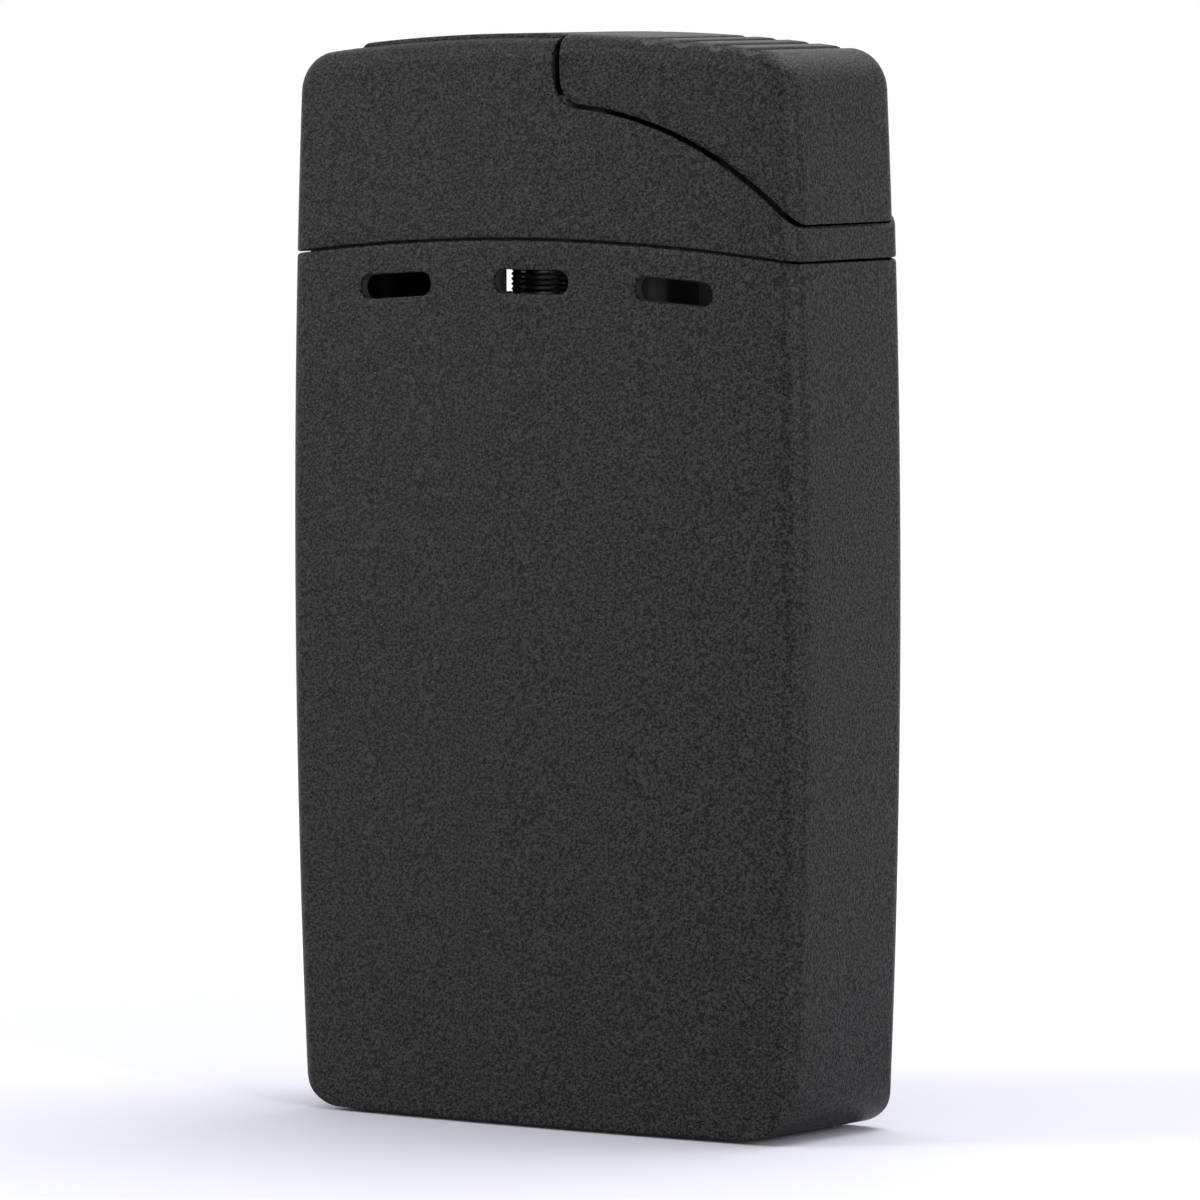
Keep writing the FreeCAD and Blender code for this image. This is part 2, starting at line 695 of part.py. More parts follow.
def flame_lid():
    plate = under_top(0).cut(under_top(LID_T))
    plate = plate.common(box(LID_HINGE_X, LID_RIGHT_X, -DEPTH, DEPTH, MID_Z, FAR))
    plate = plate.common(plan_prism(LID_INSET))
    rim = [e for e in plate.Edges
           if e.CenterOfMass.z > HEIGHT - e.CenterOfMass.x ** 2 / (2 * TOP_ARC_R) - LID_EDGE_R
           and e.CenterOfMass.x > LID_HINGE_X + LID_BARREL_R]
    plate = plate.makeFillet(LID_EDGE_R, rim)
    barrel = rod_y(LID_HINGE_X, LID_HINGE_Z, -LID_BARREL_Y, LID_BARREL_Y, LID_BARREL_R)
    barrel = barrel.cut(box(-FAR, FAR, LINK_Y0 - LINK_SIDE_GAP, LINK_Y1 + LINK_SIDE_GAP, 0, LID_HINGE_Z))
    pin = crank_pin_point()
    arm = join([rod_y(LID_HINGE_X, LID_HINGE_Z, CRANK_Y0, CRANK_Y1, CRANK_HUB_R),
                rod_y(pin.x, pin.z, CRANK_Y0, CRANK_Y1, CRANK_END_R)])
    web = box(-CRANK_R, 0, CRANK_Y0, CRANK_Y1, -CRANK_END_R, CRANK_END_R)
    web.rotate(V(0, 0, 0), V(0, 1, 0), 180 - CRANK_ANGLE)
    web.translate(V(LID_HINGE_X, 0, LID_HINGE_Z))
    peg = rod_y(pin.x, pin.z, CRANK_Y0, LINK_Y1 + CRANK_PIN_PAST, CRANK_PIN_R)
    rib = box(RIB_X0, RIB_X1, -RIB_Y, RIB_Y, RIB_Z0, RIB_Z1).common(under_top(RIB_COVER))
    lid = join([plate, barrel, arm, web, peg, rib])
    return lid.cut(rod_y(LID_HINGE_X, LID_HINGE_Z, -FAR, FAR, LID_PIN_R + PIN_FIT))


def lid_hinge_pin():
    return rod_y(LID_HINGE_X, LID_HINGE_Z, -LID_PIN_Y, LID_PIN_Y, LID_PIN_R)


def link_block(x0, x1, z0, z1):
    return box(x0, x1, LINK_Y0, LINK_Y1, z0, z1)


def link_plate():
    pin = crank_pin_point()
    half_leg = LINK_LEG_W / 2
    plate = join([link_block(RAIL_X0, RAIL_X1, RAIL_Z0, RAIL_Z1),
                  link_block(LINK_HEAD_X0, RAIL_X1, RAIL_Z1 - OVERLAP, PAD_Z - LINK_PAD_R - FIT),
                  link_block(LINK_LEG_X - half_leg, LINK_LEG_X + half_leg, LINK_LEG_Z0, RAIL_Z0 + OVERLAP),
                  rod_y(LINK_LEG_X, LINK_LEG_Z0, LINK_Y0, LINK_Y1, half_leg),
                  link_block(pin.x - LINK_TAB_SIDE, LINK_TAB_X1, LINK_TAB_Z0,
                             pin.z + CRANK_PIN_R + LINK_TAB_ROOF),
                  link_block(RAIL_X0, LINK_TAB_X1, LINK_NECK_Z0, LINK_NECK_Z1),
                  box(LINK_SEAT_X0, LINK_SEAT_X1, LINK_SEAT_Y0, LINK_Y1, RAIL_Z0, LINK_SEAT_Z1)])
    half = CRANK_PIN_R + PIN_FIT
    slot_z0 = pin.z - half - LINK_SLOT_SLACK
    slot = [box(pin.x, LINK_SLOT_X1, 0, DEPTH, slot_z0, pin.z + half),
            rod_y(pin.x, pin.z, 0, DEPTH, half),
            box(pin.x - half, pin.x, 0, DEPTH, slot_z0, pin.z)]
    return plate.cut(join(slot))


def link_spring():
    return coil(LINK_SPRING_X, LINK_SPRING_Y, BRIDGE_Z1, RAIL_Z0, LINK_SPRING_R, LINK_SPRING_WIRE_R,
                LINK_SPRING_TURNS)


# ---------------------------------------------------------------- chassis
def deck_hole(x, y, r):
    return rod_z(x, y, DECK_CUT_Z, DECK_Z1 + PAST, r)


def bridge_hole(x, r):
    return rod_z(x, 0, BRIDGE_Z0 - PAST, FAR, r)


def chassis():
    parts = [even_form(DECK_INSET).common(between(DECK_Z0, DECK_Z1)),
             both_sides(CHEEK_X0, CHEEK_X1, CHEEK_Y0, CHEEK_Y1, CHEEK_ROOT_Z, CHEEK_TOP_Z),
             both_sides(PIVOT_X - ARM_HALF, PIVOT_X + ARM_HALF, CHEEK_Y0, CHEEK_Y1,
                        CHEEK_TOP_Z - OVERLAP, PIVOT_Z),
             box(BRIDGE_X0, BRIDGE_X1, -CHEEK_Y0 - OVERLAP, CHEEK_Y0 + OVERLAP, BRIDGE_Z0, BRIDGE_Z1),
             both_sides(LEVER_X - LEVER_LUG_R, LEVER_X + LEVER_LUG_R, LEVER_LUG_Y0, LEVER_LUG_Y1,
                        CHEEK_ROOT_Z, LEVER_Z),
             box(BULKHEAD_X0, BULKHEAD_X1, -BULKHEAD_Y, BULKHEAD_Y, CHEEK_ROOT_Z, BULKHEAD_Z1),
             both_sides(CHEEK_X1 - OVERLAP, BULKHEAD_X1, CHEEK_Y0, CHEEK_Y1, CHEEK_ROOT_Z, BULKHEAD_Z1)]
    for sign in (-1, 1):
        y0, y1 = sorted((sign * CHEEK_Y0, sign * CHEEK_Y1))
        parts.append(rod_y(PIVOT_X, PIVOT_Z, y0, y1, ARM_HALF))
        y0, y1 = sorted((sign * LEVER_LUG_Y0, sign * LEVER_LUG_Y1))
        parts.append(rod_y(LEVER_X, LEVER_Z, y0, y1, LEVER_LUG_R))
    openings = [box(x0, x1, -FAR, FAR, CHEEK_WINDOW_Z0, CHEEK_WINDOW_Z1) for x0, x1 in CHEEK_WINDOWS_X]
    openings += [box(PIEZO_X0 + PIEZO_HOLE_INSET, PIEZO_X1 - PIEZO_HOLE_INSET, -PIEZO_HOLE_Y, PIEZO_HOLE_Y,
                     DECK_CUT_Z, FAR),
                 box(LEVER_HOLE_X0, LINK_HOLE_X1, -LEVER_HOLE_Y, LEVER_HOLE_Y, DECK_CUT_Z, DECK_Z1),
                 box(LINK_HOLE_X0, LINK_HOLE_X1, -LEVER_HOLE_Y, LINK_HOLE_Y1, DECK_CUT_Z, DECK_Z1),
                 deck_hole(BURNER_X, 0, VALVE_R + NEST),
                 bridge_hole(BURNER_X, BURNER_R + NEST),
                 bridge_hole(ELECTRODE_X, INSULATOR_R + NEST),
                 deck_hole(LEAD_X, LEAD_Y, LEAD_R + FIT),
                 Part.makeCylinder(LEAD_R + FIT, PAST, V(BULKHEAD_X0 - FIT, LEAD_Y, LEAD_Z), V(1, 0, 0)),
                 rod_y(PIVOT_X, PIVOT_Z, -FAR, FAR, TRIGGER_PIN_R + NEST),
                 rod_y(LEVER_X, LEVER_Z, -FAR, FAR, LEVER_PIN_R + NEST)]
    for x, y in CHASSIS_SCREWS:
        openings.append(deck_hole(x, y, CHASSIS_SCREW_R + NEST))
    return join(parts).cut(openings)


def chassis_screws():
    screws = []
    for x, y in CHASSIS_SCREWS:
        head = rod_z(x, y, DECK_Z1, DECK_Z1 + CHASSIS_HEAD_T, CHASSIS_HEAD_R)
        recess = box(x - SLOT_HALF_W, x + SLOT_HALF_W, y - FAR, y + FAR, DECK_Z1 + SLOT_FLOOR, DECK_Z1 + PAST)
        screws.append(head.fuse(rod_z(x, y, CHASSIS_SCREW_Z0, DECK_Z1, CHASSIS_SCREW_R)).cut(recess))
    return Part.makeCompound(screws)


# ---------------------------------------------------------------- burner
def burner_rod(z0, z1, r):
    return rod_z(BURNER_X, 0, z0, z1, r)


def burner_tube():
    """Brass tube with a fine outside thread on its lower half and air holes above the bridge."""
    root_r = BURNER_R - THREAD_DEPTH
    points = [V(0, 0, BURNER_Z0), V(root_r, 0, BURNER_Z0)]
    turns = int((THREAD_Z1 - BURNER_Z0) / THREAD_PITCH)
    for i in range(turns):
        z = BURNER_Z0 + i * THREAD_PITCH
        points.append(V(BURNER_R, 0, z + THREAD_PITCH / 2))
        points.append(V(root_r, 0, z + THREAD_PITCH))
    points.append(V(BURNER_R, 0, BURNER_Z0 + turns * THREAD_PITCH + THREAD_DEPTH))
    points.append(V(BURNER_R, 0, BURNER_Z1))
    points.append(V(0, 0, BURNER_Z1))
    tube = Part.Face(Part.makePolygon(points + points[:1])).revolve(V(0, 0, 0), V(0, 0, 1), 360)
    tube.translate(V(BURNER_X, 0, 0))
    tube = tube.cut(burner_rod(BURNER_Z0 - PAST, BURNER_BORE_Z0, STEM_R + FIT))
    tube = tube.cut(burner_rod(BURNER_BORE_Z0, BURNER_Z1 + PAST, BURNER_BORE_R))
    for turn in range(AIR_HOLES):
        hole = Part.makeCylinder(AIR_HOLE_R, 2 * BURNER_R, V(BURNER_X, 0, AIR_HOLE_Z), V(1, 0, 0))
        hole.rotate(V(BURNER_X, 0, AIR_HOLE_Z), V(0, 0, 1), 360 / AIR_HOLES * (turn + 1 / 2))
        tube = tube.cut(hole)
    return tube


def burner_head():
    head = burner_rod(BURNER_Z1 + NEST, HEAD_Z1, BURNER_R)
    head = head.fuse(burner_rod(BURNER_Z1 - HEAD_PLUG_T, BURNER_Z1 + HEAD_PLUG_PAST, BURNER_BORE_R - NEST))
    below = BURNER_Z1 - HEAD_PLUG_T - PAST
    head = head.cut(burner_rod(below, FAR, JET_R))
    for turn in range(SIDE_JETS):
        p = arc_point(BURNER_X, 0, SIDE_JET_RING_R, 360 / SIDE_JETS * turn)
        head = head.cut(rod_z(p.x, p.z, below, FAR, SIDE_JET_R))
    return head.cut(cone_z(BURNER_X, 0, HEAD_Z1 - HEAD_CUP_T, HEAD_Z1 + HEAD_CUP_PAST,
                           HEAD_CUP_R0, HEAD_CUP_R1))


def burner_nut():
    corners = []
    for turn in range(7):
        p = arc_point(BURNER_X, 0, NUT_R, 60 * turn + 30)
        corners.append(V(p.x, p.z, NUT_Z0))
    nut = Part.Face(Part.makePolygon(corners)).extrude(V(0, 0, BRIDGE_Z0 - NEST - NUT_Z0))
    return nut.cut(burner_rod(NUT_Z0 - PAST, FAR, BURNER_R + NEST))


# ---------------------------------------------------------------- gas valve
def valve_body():
    body = burner_rod(VALVE_Z0, DECK_Z1, VALVE_R)
    body = body.cut(burner_rod(VALVE_SEAT_Z, VALVE_CAVITY_Z1, VALVE_CAVITY_R))
    body = body.cut(burner_rod(VALVE_CAVITY_Z1 - OVERLAP, FAR, STEM_R + FIT))
    body = body.cut(burner_rod(VALVE_Z0 - PAST, VALVE_SEAT_Z + OVERLAP, VALVE_INLET_R))
    return body.cut(burner_rod(VALVE_Z0 - PAST, GAS_TUBE_Z1, GAS_TUBE_R + NEST))


def valve_stem():
    stem = join([burner_rod(STEM_Z0, STEM_TOP_Z, STEM_R),
                 burner_rod(STEM_Z0, STEM_COLLAR_Z1, STEM_COLLAR_R),
                 box(BURNER_X - STEM_BAR_X, BURNER_X + STEM_BAR_X, -STEM_BAR_Y, STEM_BAR_Y,
                     STEM_BAR_Z0, STEM_BAR_Z1)])
    return stem.cut(burner_rod(STEM_BORE_Z0, FAR, STEM_BORE_R))


def valve_seal():
    return burner_rod(VALVE_SEAT_Z + NEST, SEAL_Z1, SEAL_R)


def valve_spring():
    return coil(BURNER_X, 0, STEM_COLLAR_Z1, VALVE_CAVITY_Z1, VALVE_SPRING_R, VALVE_SPRING_WIRE_R,
                VALVE_SPRING_TURNS)


def valve_lever():
    """Rocker: the link pushes its long arm down and its fork lifts the valve stem."""
    nub_x = LEVER_X - LEVER_ARM
    lever = join([rod_y(LEVER_X, LEVER_Z, -LEVER_HUB_Y, LEVER_HUB_Y, LEVER_HUB_R),
                  both_sides(FORK_X0, LEVER_X, FORK_Y0, FORK_Y1, FORK_Z0, LEVER_Z),
                  rod_y(nub_x, LEVER_Z, -FORK_Y1, -FORK_Y0, FORK_NUB_R),
                  rod_y(nub_x, LEVER_Z, FORK_Y0, FORK_Y1, FORK_NUB_R),
                  box(LEVER_X, LEVER_ARM_X1, -LEVER_ARM_Y, LEVER_ARM_Y, LEVER_ARM_Z0, LEVER_ARM_Z1),
                  box(LEVER_TAB_X0, LEVER_ARM_X1, -LEVER_ARM_Y, LEVER_TAB_Y1, LEVER_ARM_Z0, LEVER_ARM_Z1)])
    return lever.cut(rod_y(LEVER_X, LEVER_Z, -FAR, FAR, LEVER_PIN_R + PIN_FIT))


def valve_lever_pin():
    return rod_y(LEVER_X, LEVER_Z, -LEVER_PIN_Y, LEVER_PIN_Y, LEVER_PIN_R)


def gas_tube():
    return ring_z(BURNER_X, 0, GAS_TUBE_Z0, GAS_TUBE_Z1 - NEST, GAS_TUBE_BORE_R, GAS_TUBE_R)


# ---------------------------------------------------------------- igniter
def piezo_housing():
    block = box(PIEZO_X0, PIEZO_X1, -PIEZO_Y, PIEZO_Y, PIEZO_Z0, PIEZO_Z1)
    shaft = box(PIEZO_X0 + PIEZO_WALL, PIEZO_X1 - PIEZO_WALL, -PIEZO_Y + PIEZO_WALL, PIEZO_Y - PIEZO_WALL,
                PIEZO_SHELF_Z, FAR)
    bore = rod_z(PIEZO_X, 0, PIEZO_Z0 + PIEZO_FLOOR_T, PIEZO_SHELF_Z + PAST, PIEZO_BORE_R)
    groove = rod_z(LEAD_X, LEAD_Y, 0, FAR, LEAD_R + LEAD_GROOVE)
    return block.cut([shaft, bore, groove])


def piezo_plunger():
    x0 = PIEZO_X0 + PIEZO_WALL + FIT
    x1 = PIEZO_X1 - PIEZO_WALL - FIT
    foot = box(x0, x1, -PLUNGER_Y, PLUNGER_Y, PLUNGER_Z0, PLUNGER_SHOULDER_Z)
    stem = box(PIEZO_X - PLUNGER_STEM_X, PIEZO_X + PLUNGER_STEM_X, -PLUNGER_STEM_Y, PLUNGER_STEM_Y,
               PLUNGER_SHOULDER_Z - OVERLAP, PAD_Z - PLUNGER_PAD_R - FIT)
    return join([foot, stem]).cut(rod_z(PIEZO_X, 0, PLUNGER_Z0 - PAST, PLUNGER_BORE_Z1, PLUNGER_BORE_R))


def piezo_spring():
    return coil(PIEZO_X, 0, PIEZO_SHELF_Z, PLUNGER_Z0, PIEZO_SPRING_R, PIEZO_SPRING_WIRE_R,
                PIEZO_SPRING_TURNS)


def piezo_hammer():
    return cone_z(PIEZO_X, 0, HAMMER_Z1, HAMMER_TIP_Z, HAMMER_R, HAMMER_TIP_R).fuse(
        rod_z(PIEZO_X, 0, HAMMER_Z0, HAMMER_Z1, HAMMER_R))


def piezo_crystal():
    return rod_z(PIEZO_X, 0, PIEZO_Z0 + PIEZO_FLOOR_T + NEST, CRYSTAL_Z1, HAMMER_R)


def piezo_lead():
    return wire_run([V(ELECTRODE_X, 0, LEAD_Z1), V(ELECTRODE_X, 0, LEAD_Z), V(ELECTRODE_X, LEAD_Y, LEAD_Z),
                     V(LEAD_X, LEAD_Y, LEAD_Z), V(LEAD_X, LEAD_Y, LEAD_Z0)], LEAD_R)


def electrode():
    return wire_run([V(ELECTRODE_X, 0, ELECTRODE_Z0), V(ELECTRODE_X, 0, ELECTRODE_TIP_Z),
                     V(ELECTRODE_TIP_X, 0, ELECTRODE_TIP_Z)], ELECTRODE_R)


def electrode_insulator():
    body = join([rod_z(ELECTRODE_X, 0, INSULATOR_Z0, INSULATOR_Z1, INSULATOR_SLIM_R),
                 rod_z(ELECTRODE_X, 0, INSULATOR_SEAT_Z0, INSULATOR_SEAT_Z1, INSULATOR_R)])
    return body.cut(rod_z(ELECTRODE_X, 0, 0, FAR, ELECTRODE_R + NEST))


# ---------------------------------------------------------------- fuel tank
def fuel_tank():
    tank = even_form(TANK_INSET).common(between(TANK_Z0, TANK_Z1))
    room = even_form(TANK_INSET + TANK_WALL).common(between(TANK_Z0 - PAST, TANK_Z1 - TANK_WALL))
    room = room.cut(box(POCKET_X0 - TANK_WALL, FAR, -FAR, FAR, POCKET_Z - TANK_WALL, FAR))
    wells = [room,
             box(POCKET_X0, POCKET_X1, -POCKET_Y, POCKET_Y, POCKET_Z, FAR),
             rod_z(LEAD_X, LEAD_Y, LEAD_POCKET_Z, FAR, LEAD_R + LEAD_ROOM),
             box(LINK_HOLE_X0, LINK_WELL_X1, -LEVER_HOLE_Y, LINK_HOLE_Y1, LINK_WELL_Z, FAR),
             burner_rod(DECK_CUT_Z, FAR, VALVE_R + NEST)]
    for x, y in CHASSIS_SCREWS:
        wells.append(rod_z(x, y, SCREW_WELL_Z, FAR, CHASSIS_SCREW_R + NEST))
    return tank.cut(wells)


def tank_cover():
    parts = [even_form(TANK_INSET).common(between(COVER_Z0, COVER_Z1))]
    holes = [rod_z(FILL_X, 0, 0, FILL_Z1, FILL_R + NEST), burner_rod(0, REGULATOR_Z1, REGULATOR_R + NEST)]
    for x in (-BASE_SCREW_X, BASE_SCREW_X):
        parts.append(rod_z(x, 0, COVER_Z1 - BOSS_ROOT, BOSS_Z1, BOSS_R))
        holes.append(rod_z(x, 0, 0, BOSS_BORE_Z1, BASE_SCREW_R + NEST))
    return join(parts).cut(holes)


# ---------------------------------------------------------------- filler
def fill_rod(z0, z1, r):
    return rod_z(FILL_X, 0, z0, z1, r)


def fill_valve_body():
    body = join([fill_rod(PORT_Z0, PORT_FLANGE_Z1, FILL_FLANGE_R), fill_rod(PORT_BODY_Z0, FILL_Z1, FILL_R)])
    return body.cut([fill_rod(0, FILL_MOUTH_Z1, FILL_MOUTH_R),
                     fill_rod(0, FILL_NECK_Z1, FILL_NECK_R),
                     fill_rod(FILL_ROOM_Z0, FILL_ROOM_Z1, FILL_ROOM_R),
                     fill_rod(FILL_NECK_Z1, FAR, FILL_OUTLET_R)])


def fill_valve_stem():
    stem = join([fill_rod(FILL_STEM_Z0, FILL_STEM_Z1, FILL_STEM_R),
                 fill_rod(FILL_COLLAR_Z0, FILL_COLLAR_Z1, FILL_COLLAR_R)])
    return stem.cut(box(-FAR, FAR, -FILL_STEM_SLOT, FILL_STEM_SLOT, 0, FILL_STEM_SLOT_Z1))


def fill_valve_seal():
    return ring_z(FILL_X, 0, FILL_ROOM_Z0 + NEST, FILL_SEAL_Z1, FILL_STEM_R + NEST, FILL_COLLAR_R)


def fill_valve_spring():
    return coil(FILL_X, 0, FILL_COLLAR_Z1, FILL_ROOM_Z1, FILL_SPRING_R, FILL_SPRING_WIRE_R, FILL_SPRING_TURNS)


# ---------------------------------------------------------------- flame height
def regulator_body():
    body = join([burner_rod(PORT_Z0, PORT_FLANGE_Z1, REGULATOR_FLANGE_R),
                 burner_rod(PORT_BODY_Z0, REGULATOR_Z1, REGULATOR_R)])
    return body.cut([burner_rod(0, ADJUSTER_Z1 + FIT, ADJUSTER_R + FIT),
                     burner_rod(0, REGULATOR_SPINDLE_Z1, SPINDLE_R + FIT),
                     burner_rod(REGULATOR_GROOVE_Z0, REGULATOR_GROOVE_Z1, REGULATOR_GROOVE_R),
                     burner_rod(REGULATOR_FEED_Z0, REGULATOR_FEED_Z1, GAS_TUBE_BORE_R),
                     burner_rod(GAS_TUBE_Z0, FAR, GAS_TUBE_R + NEST),
                     Part.makeCylinder(REGULATOR_PORT_R, FAR, V(BURNER_X, 0, REGULATOR_PORT_Z), V(1, 0, 0))])


def flame_adjuster():
    wheel = burner_rod(ADJUSTER_Z0, ADJUSTER_Z1, ADJUSTER_R)
    wheel = wheel.fuse(burner_rod(ADJUSTER_Z0, SPINDLE_Z1, SPINDLE_R))
    cutters = [box(BURNER_X - ADJUSTER_SLOT_X, BURNER_X + ADJUSTER_SLOT_X, -ADJUSTER_SLOT_Y, ADJUSTER_SLOT_Y,
                   0, ADJUSTER_SLOT_Z1)]
    for turn in range(KNURLS):
        p = arc_point(BURNER_X, 0, KNURL_RING_R, 360 / KNURLS * (turn + 1 / 2))
        cutters.append(rod_z(p.x, p.z, 0, KNURL_Z1, KNURL_R))
    return wheel.cut(cutters)


def adjuster_seal():
    return ring_z(BURNER_X, 0, REGULATOR_GROOVE_Z0 + NEST, REGULATOR_GROOVE_Z1 - NEST, SPINDLE_R + NEST,
                  REGULATOR_GROOVE_R - NEST)


# ---------------------------------------------------------------- base
def base_plate():
    holes = [rod_z(FILL_X, 0, -PAST, FAR, FILL_FLANGE_R + NEST),
             burner_rod(-PAST, FAR, REGULATOR_FLANGE_R + NEST)]
    for x in (-BASE_SCREW_X, BASE_SCREW_X):
        holes.append(rod_z(x, 0, -PAST, FAR, BASE_SCREW_R + NEST))
        holes.append(rod_z(x, 0, -PAST, BASE_HEAD_Z1, BASE_HEAD_R + NEST))
    return base_slab(0, 0, BASE_T).cut(holes)


def base_screws():
    screws = []
    for x in (-BASE_SCREW_X, BASE_SCREW_X):
        head = rod_z(x, 0, BASE_HEAD_Z0, BASE_HEAD_Z1, BASE_HEAD_R)
        screw = head.fuse(rod_z(x, 0, BASE_SHANK_Z0, BASE_SCREW_Z1, BASE_SCREW_R))
        screws.append(screw.cut([box(x - half_x, x + half_x, -half_y, half_y, 0, CROSS_Z1)
                                 for half_x, half_y in ((CROSS_HALF_W, CROSS_HALF_L),
                                                        (CROSS_HALF_L, CROSS_HALF_W))]))
    return Part.makeCompound(screws)


PARTS = (case_shell, case_liner, cap_shell, flame_guard, chassis, chassis_screws,
         trigger, trigger_pin, flame_lid, lid_hinge_pin, link_plate, link_spring,
         burner_tube, burner_head, burner_nut, valve_body, valve_stem, valve_seal, valve_spring,
         valve_lever, valve_lever_pin, gas_tube,
         piezo_housing, piezo_plunger, piezo_spring, piezo_hammer, piezo_crystal, piezo_lead,
         electrode, electrode_insulator, fuel_tank, tank_cover,
         fill_valve_body, fill_valve_stem, fill_valve_seal, fill_valve_spring,
         regulator_body, flame_adjuster, adjuster_seal, base_plate, base_screws)

os.makedirs("parts", exist_ok=True)
for make in PARTS:
    shape = make()
    shape.exportStep("parts/" + make.__name__ + ".step")
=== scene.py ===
import math

import bmesh
import bpy
from mathutils import Matrix, Vector


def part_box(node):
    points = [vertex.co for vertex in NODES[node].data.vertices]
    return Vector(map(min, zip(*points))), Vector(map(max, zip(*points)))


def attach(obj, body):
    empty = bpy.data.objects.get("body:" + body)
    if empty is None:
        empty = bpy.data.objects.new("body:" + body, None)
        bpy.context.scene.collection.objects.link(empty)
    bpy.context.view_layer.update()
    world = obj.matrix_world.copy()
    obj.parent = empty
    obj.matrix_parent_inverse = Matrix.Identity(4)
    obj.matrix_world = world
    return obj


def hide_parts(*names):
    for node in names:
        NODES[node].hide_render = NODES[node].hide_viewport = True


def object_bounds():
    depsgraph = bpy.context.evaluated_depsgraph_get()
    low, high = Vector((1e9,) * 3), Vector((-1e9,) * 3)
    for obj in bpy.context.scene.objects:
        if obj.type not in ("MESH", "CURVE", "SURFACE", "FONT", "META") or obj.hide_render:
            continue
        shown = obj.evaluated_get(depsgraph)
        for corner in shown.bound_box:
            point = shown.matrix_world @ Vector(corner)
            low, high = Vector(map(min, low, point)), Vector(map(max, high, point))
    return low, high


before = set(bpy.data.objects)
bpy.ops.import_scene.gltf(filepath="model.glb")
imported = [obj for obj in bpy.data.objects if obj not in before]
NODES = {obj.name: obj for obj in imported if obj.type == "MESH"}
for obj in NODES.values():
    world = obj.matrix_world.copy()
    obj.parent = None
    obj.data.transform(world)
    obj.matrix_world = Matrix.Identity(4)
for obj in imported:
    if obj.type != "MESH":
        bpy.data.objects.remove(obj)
CAD_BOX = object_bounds()
MM = 0.001

# ------------------------------------------------------------------ sizes, millimetres
LOW, HIGH = (tuple(v / MM for v in corner) for corner in CAD_BOX)
HEIGHT = HIGH[2]
WIDTH = 38.08
DEPTH = HIGH[1] - LOW[1]
MID_Z = HEIGHT / 2
SIDE_BOW = 0.934            # how far the narrow sides bulge at mid height
FACE_CROWN = 0.787          # how far the broad faces bulge at mid width
TOP_ARC_R = 135.9
TOP_CORNER_R = 2.6
BASE_CORNER_R = 3.2
EDGE_R = 1.25
EDGE_R_MIN = 0.15
CORNER_R_MIN = 0.3
RIM_EDGE_R_MIN = 0.05
CASE_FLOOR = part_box("case_shell")[0][2] / MM
SKIN_T = 0.25
CAP_DROP = 0.25
SEAM_TOP_Z = 53.68
SEAM_R = 150.7
SEAM_GAP = 0.11
SEAM_SIDE_DROP = 1.1        # about how far the cap line falls from the middle to the sides
CASE_RIM_R = 0.2
CAP_RIM_R = 0.12
ARCH_Z0 = 40.0              # mesh rows start to follow the arch of the cap line here
ARCH_Z1 = 47.0              # and follow it fully from here
CORE_TOP_Z = 56.0
CAP_LEVEL_Z = 56.0          # the cap's rows follow the arch less and less from here
CAP_LEVEL_SHARE = 0.7
CAP_ROWS_TOP_Z = 61.5
SLOTS = ((-10.33, 50.7, -3.9), (0.0, 51.1, 0.0), (10.33, 50.7, 3.9))     # X, Z and lean
SLOT_W = 5.55
SLOT_H = 1.45
PIVOT = (3.5, 63.3)
TRIGGER_ARC = (1.2, 36.9)
TRIGGER_NOSE_R = 1.58
TRIGGER_GAP = 0.2
TRIGGER_LEFT_GAP = 0.32
TRIGGER_RECESS = 0.32
TRIGGER_WALL = 0.8
TRIGGER_ROOF = 1.3
TRIGGER_LEFT_WALL_X = 2.35
ZONE_PAST_X = 3             # the trigger's outline runs on past the side by this much
ZONE_PAST_Z = 9             # and past the top by this much
ZONE_STEP_Z = 0.4           # the wider left gap starts this far above the pivot
GRIP_X = (8.15, 10.45, 12.87, 15.26)
GRIP_R = 0.6
GRIP_DEPTH = 0.42
LUG_R = 1.05
LUG_SINK = 0.3              # the lugs reach this far into the roof
LUG_Y0 = 2.6
LUG_Y1 = 3.6
PIVOT_BORE_R = 0.54
PIVOT_BORE_HALF = 4.5
PADS = ((11.8, 1.2, -2.0, 2.0), (8.2, 0.9, 3.45, 4.65))                  # X, radius and Y range
PAD_Z = 63.5
PAD_TOP_Z = 64.7
LID_INSET = 1.15
LID_GAP = 0.09
LID_HINGE_X = -13.1
LID_BARREL_R = 0.82
LID_OPENING_Z0 = 62.0
LID_OPENING_Z1 = 70.0
BASE_HALF_X = 14.6
BASE_INSET = 0.82
BASE_PLATE_R = 1.5
BASE_OPENING_GROW = 0.02
PAST = 20.0                 # cutters reach this far past the middle plane

# ------------------------------------------------------------------ mesh steps
CORNER_STEPS = 12
TOP_STEPS = 30
ROUND_STEPS = 8
RIM_STEPS = 4
ARC_STEPS = 20
DISC_STEPS = 32
LIFT_STEPS = 7
MERGE = 1e-7                # metres


def bow_radius(half, bow):
    return (half * half + bow * bow) / (2 * bow)


SIDE_R = bow_radius(MID_Z, SIDE_BOW)
FACE_R = bow_radius(WIDTH / 2, FACE_CROWN)


# ------------------------------------------------------------------ mesh helpers
def mesh_object(name, verts, faces):
    mesh = bpy.data.meshes.new(name)
    mesh.from_pydata([Vector(v) * MM for v in verts], [], faces)
    bm = bmesh.new()
    bm.from_mesh(mesh)
    bmesh.ops.remove_doubles(bm, verts=bm.verts, dist=MERGE)
    bmesh.ops.recalc_face_normals(bm, faces=bm.faces)
    bm.to_mesh(mesh)
    bm.free()
    obj = bpy.data.objects.new(name, mesh)
    bpy.context.scene.collection.objects.link(obj)
    return obj


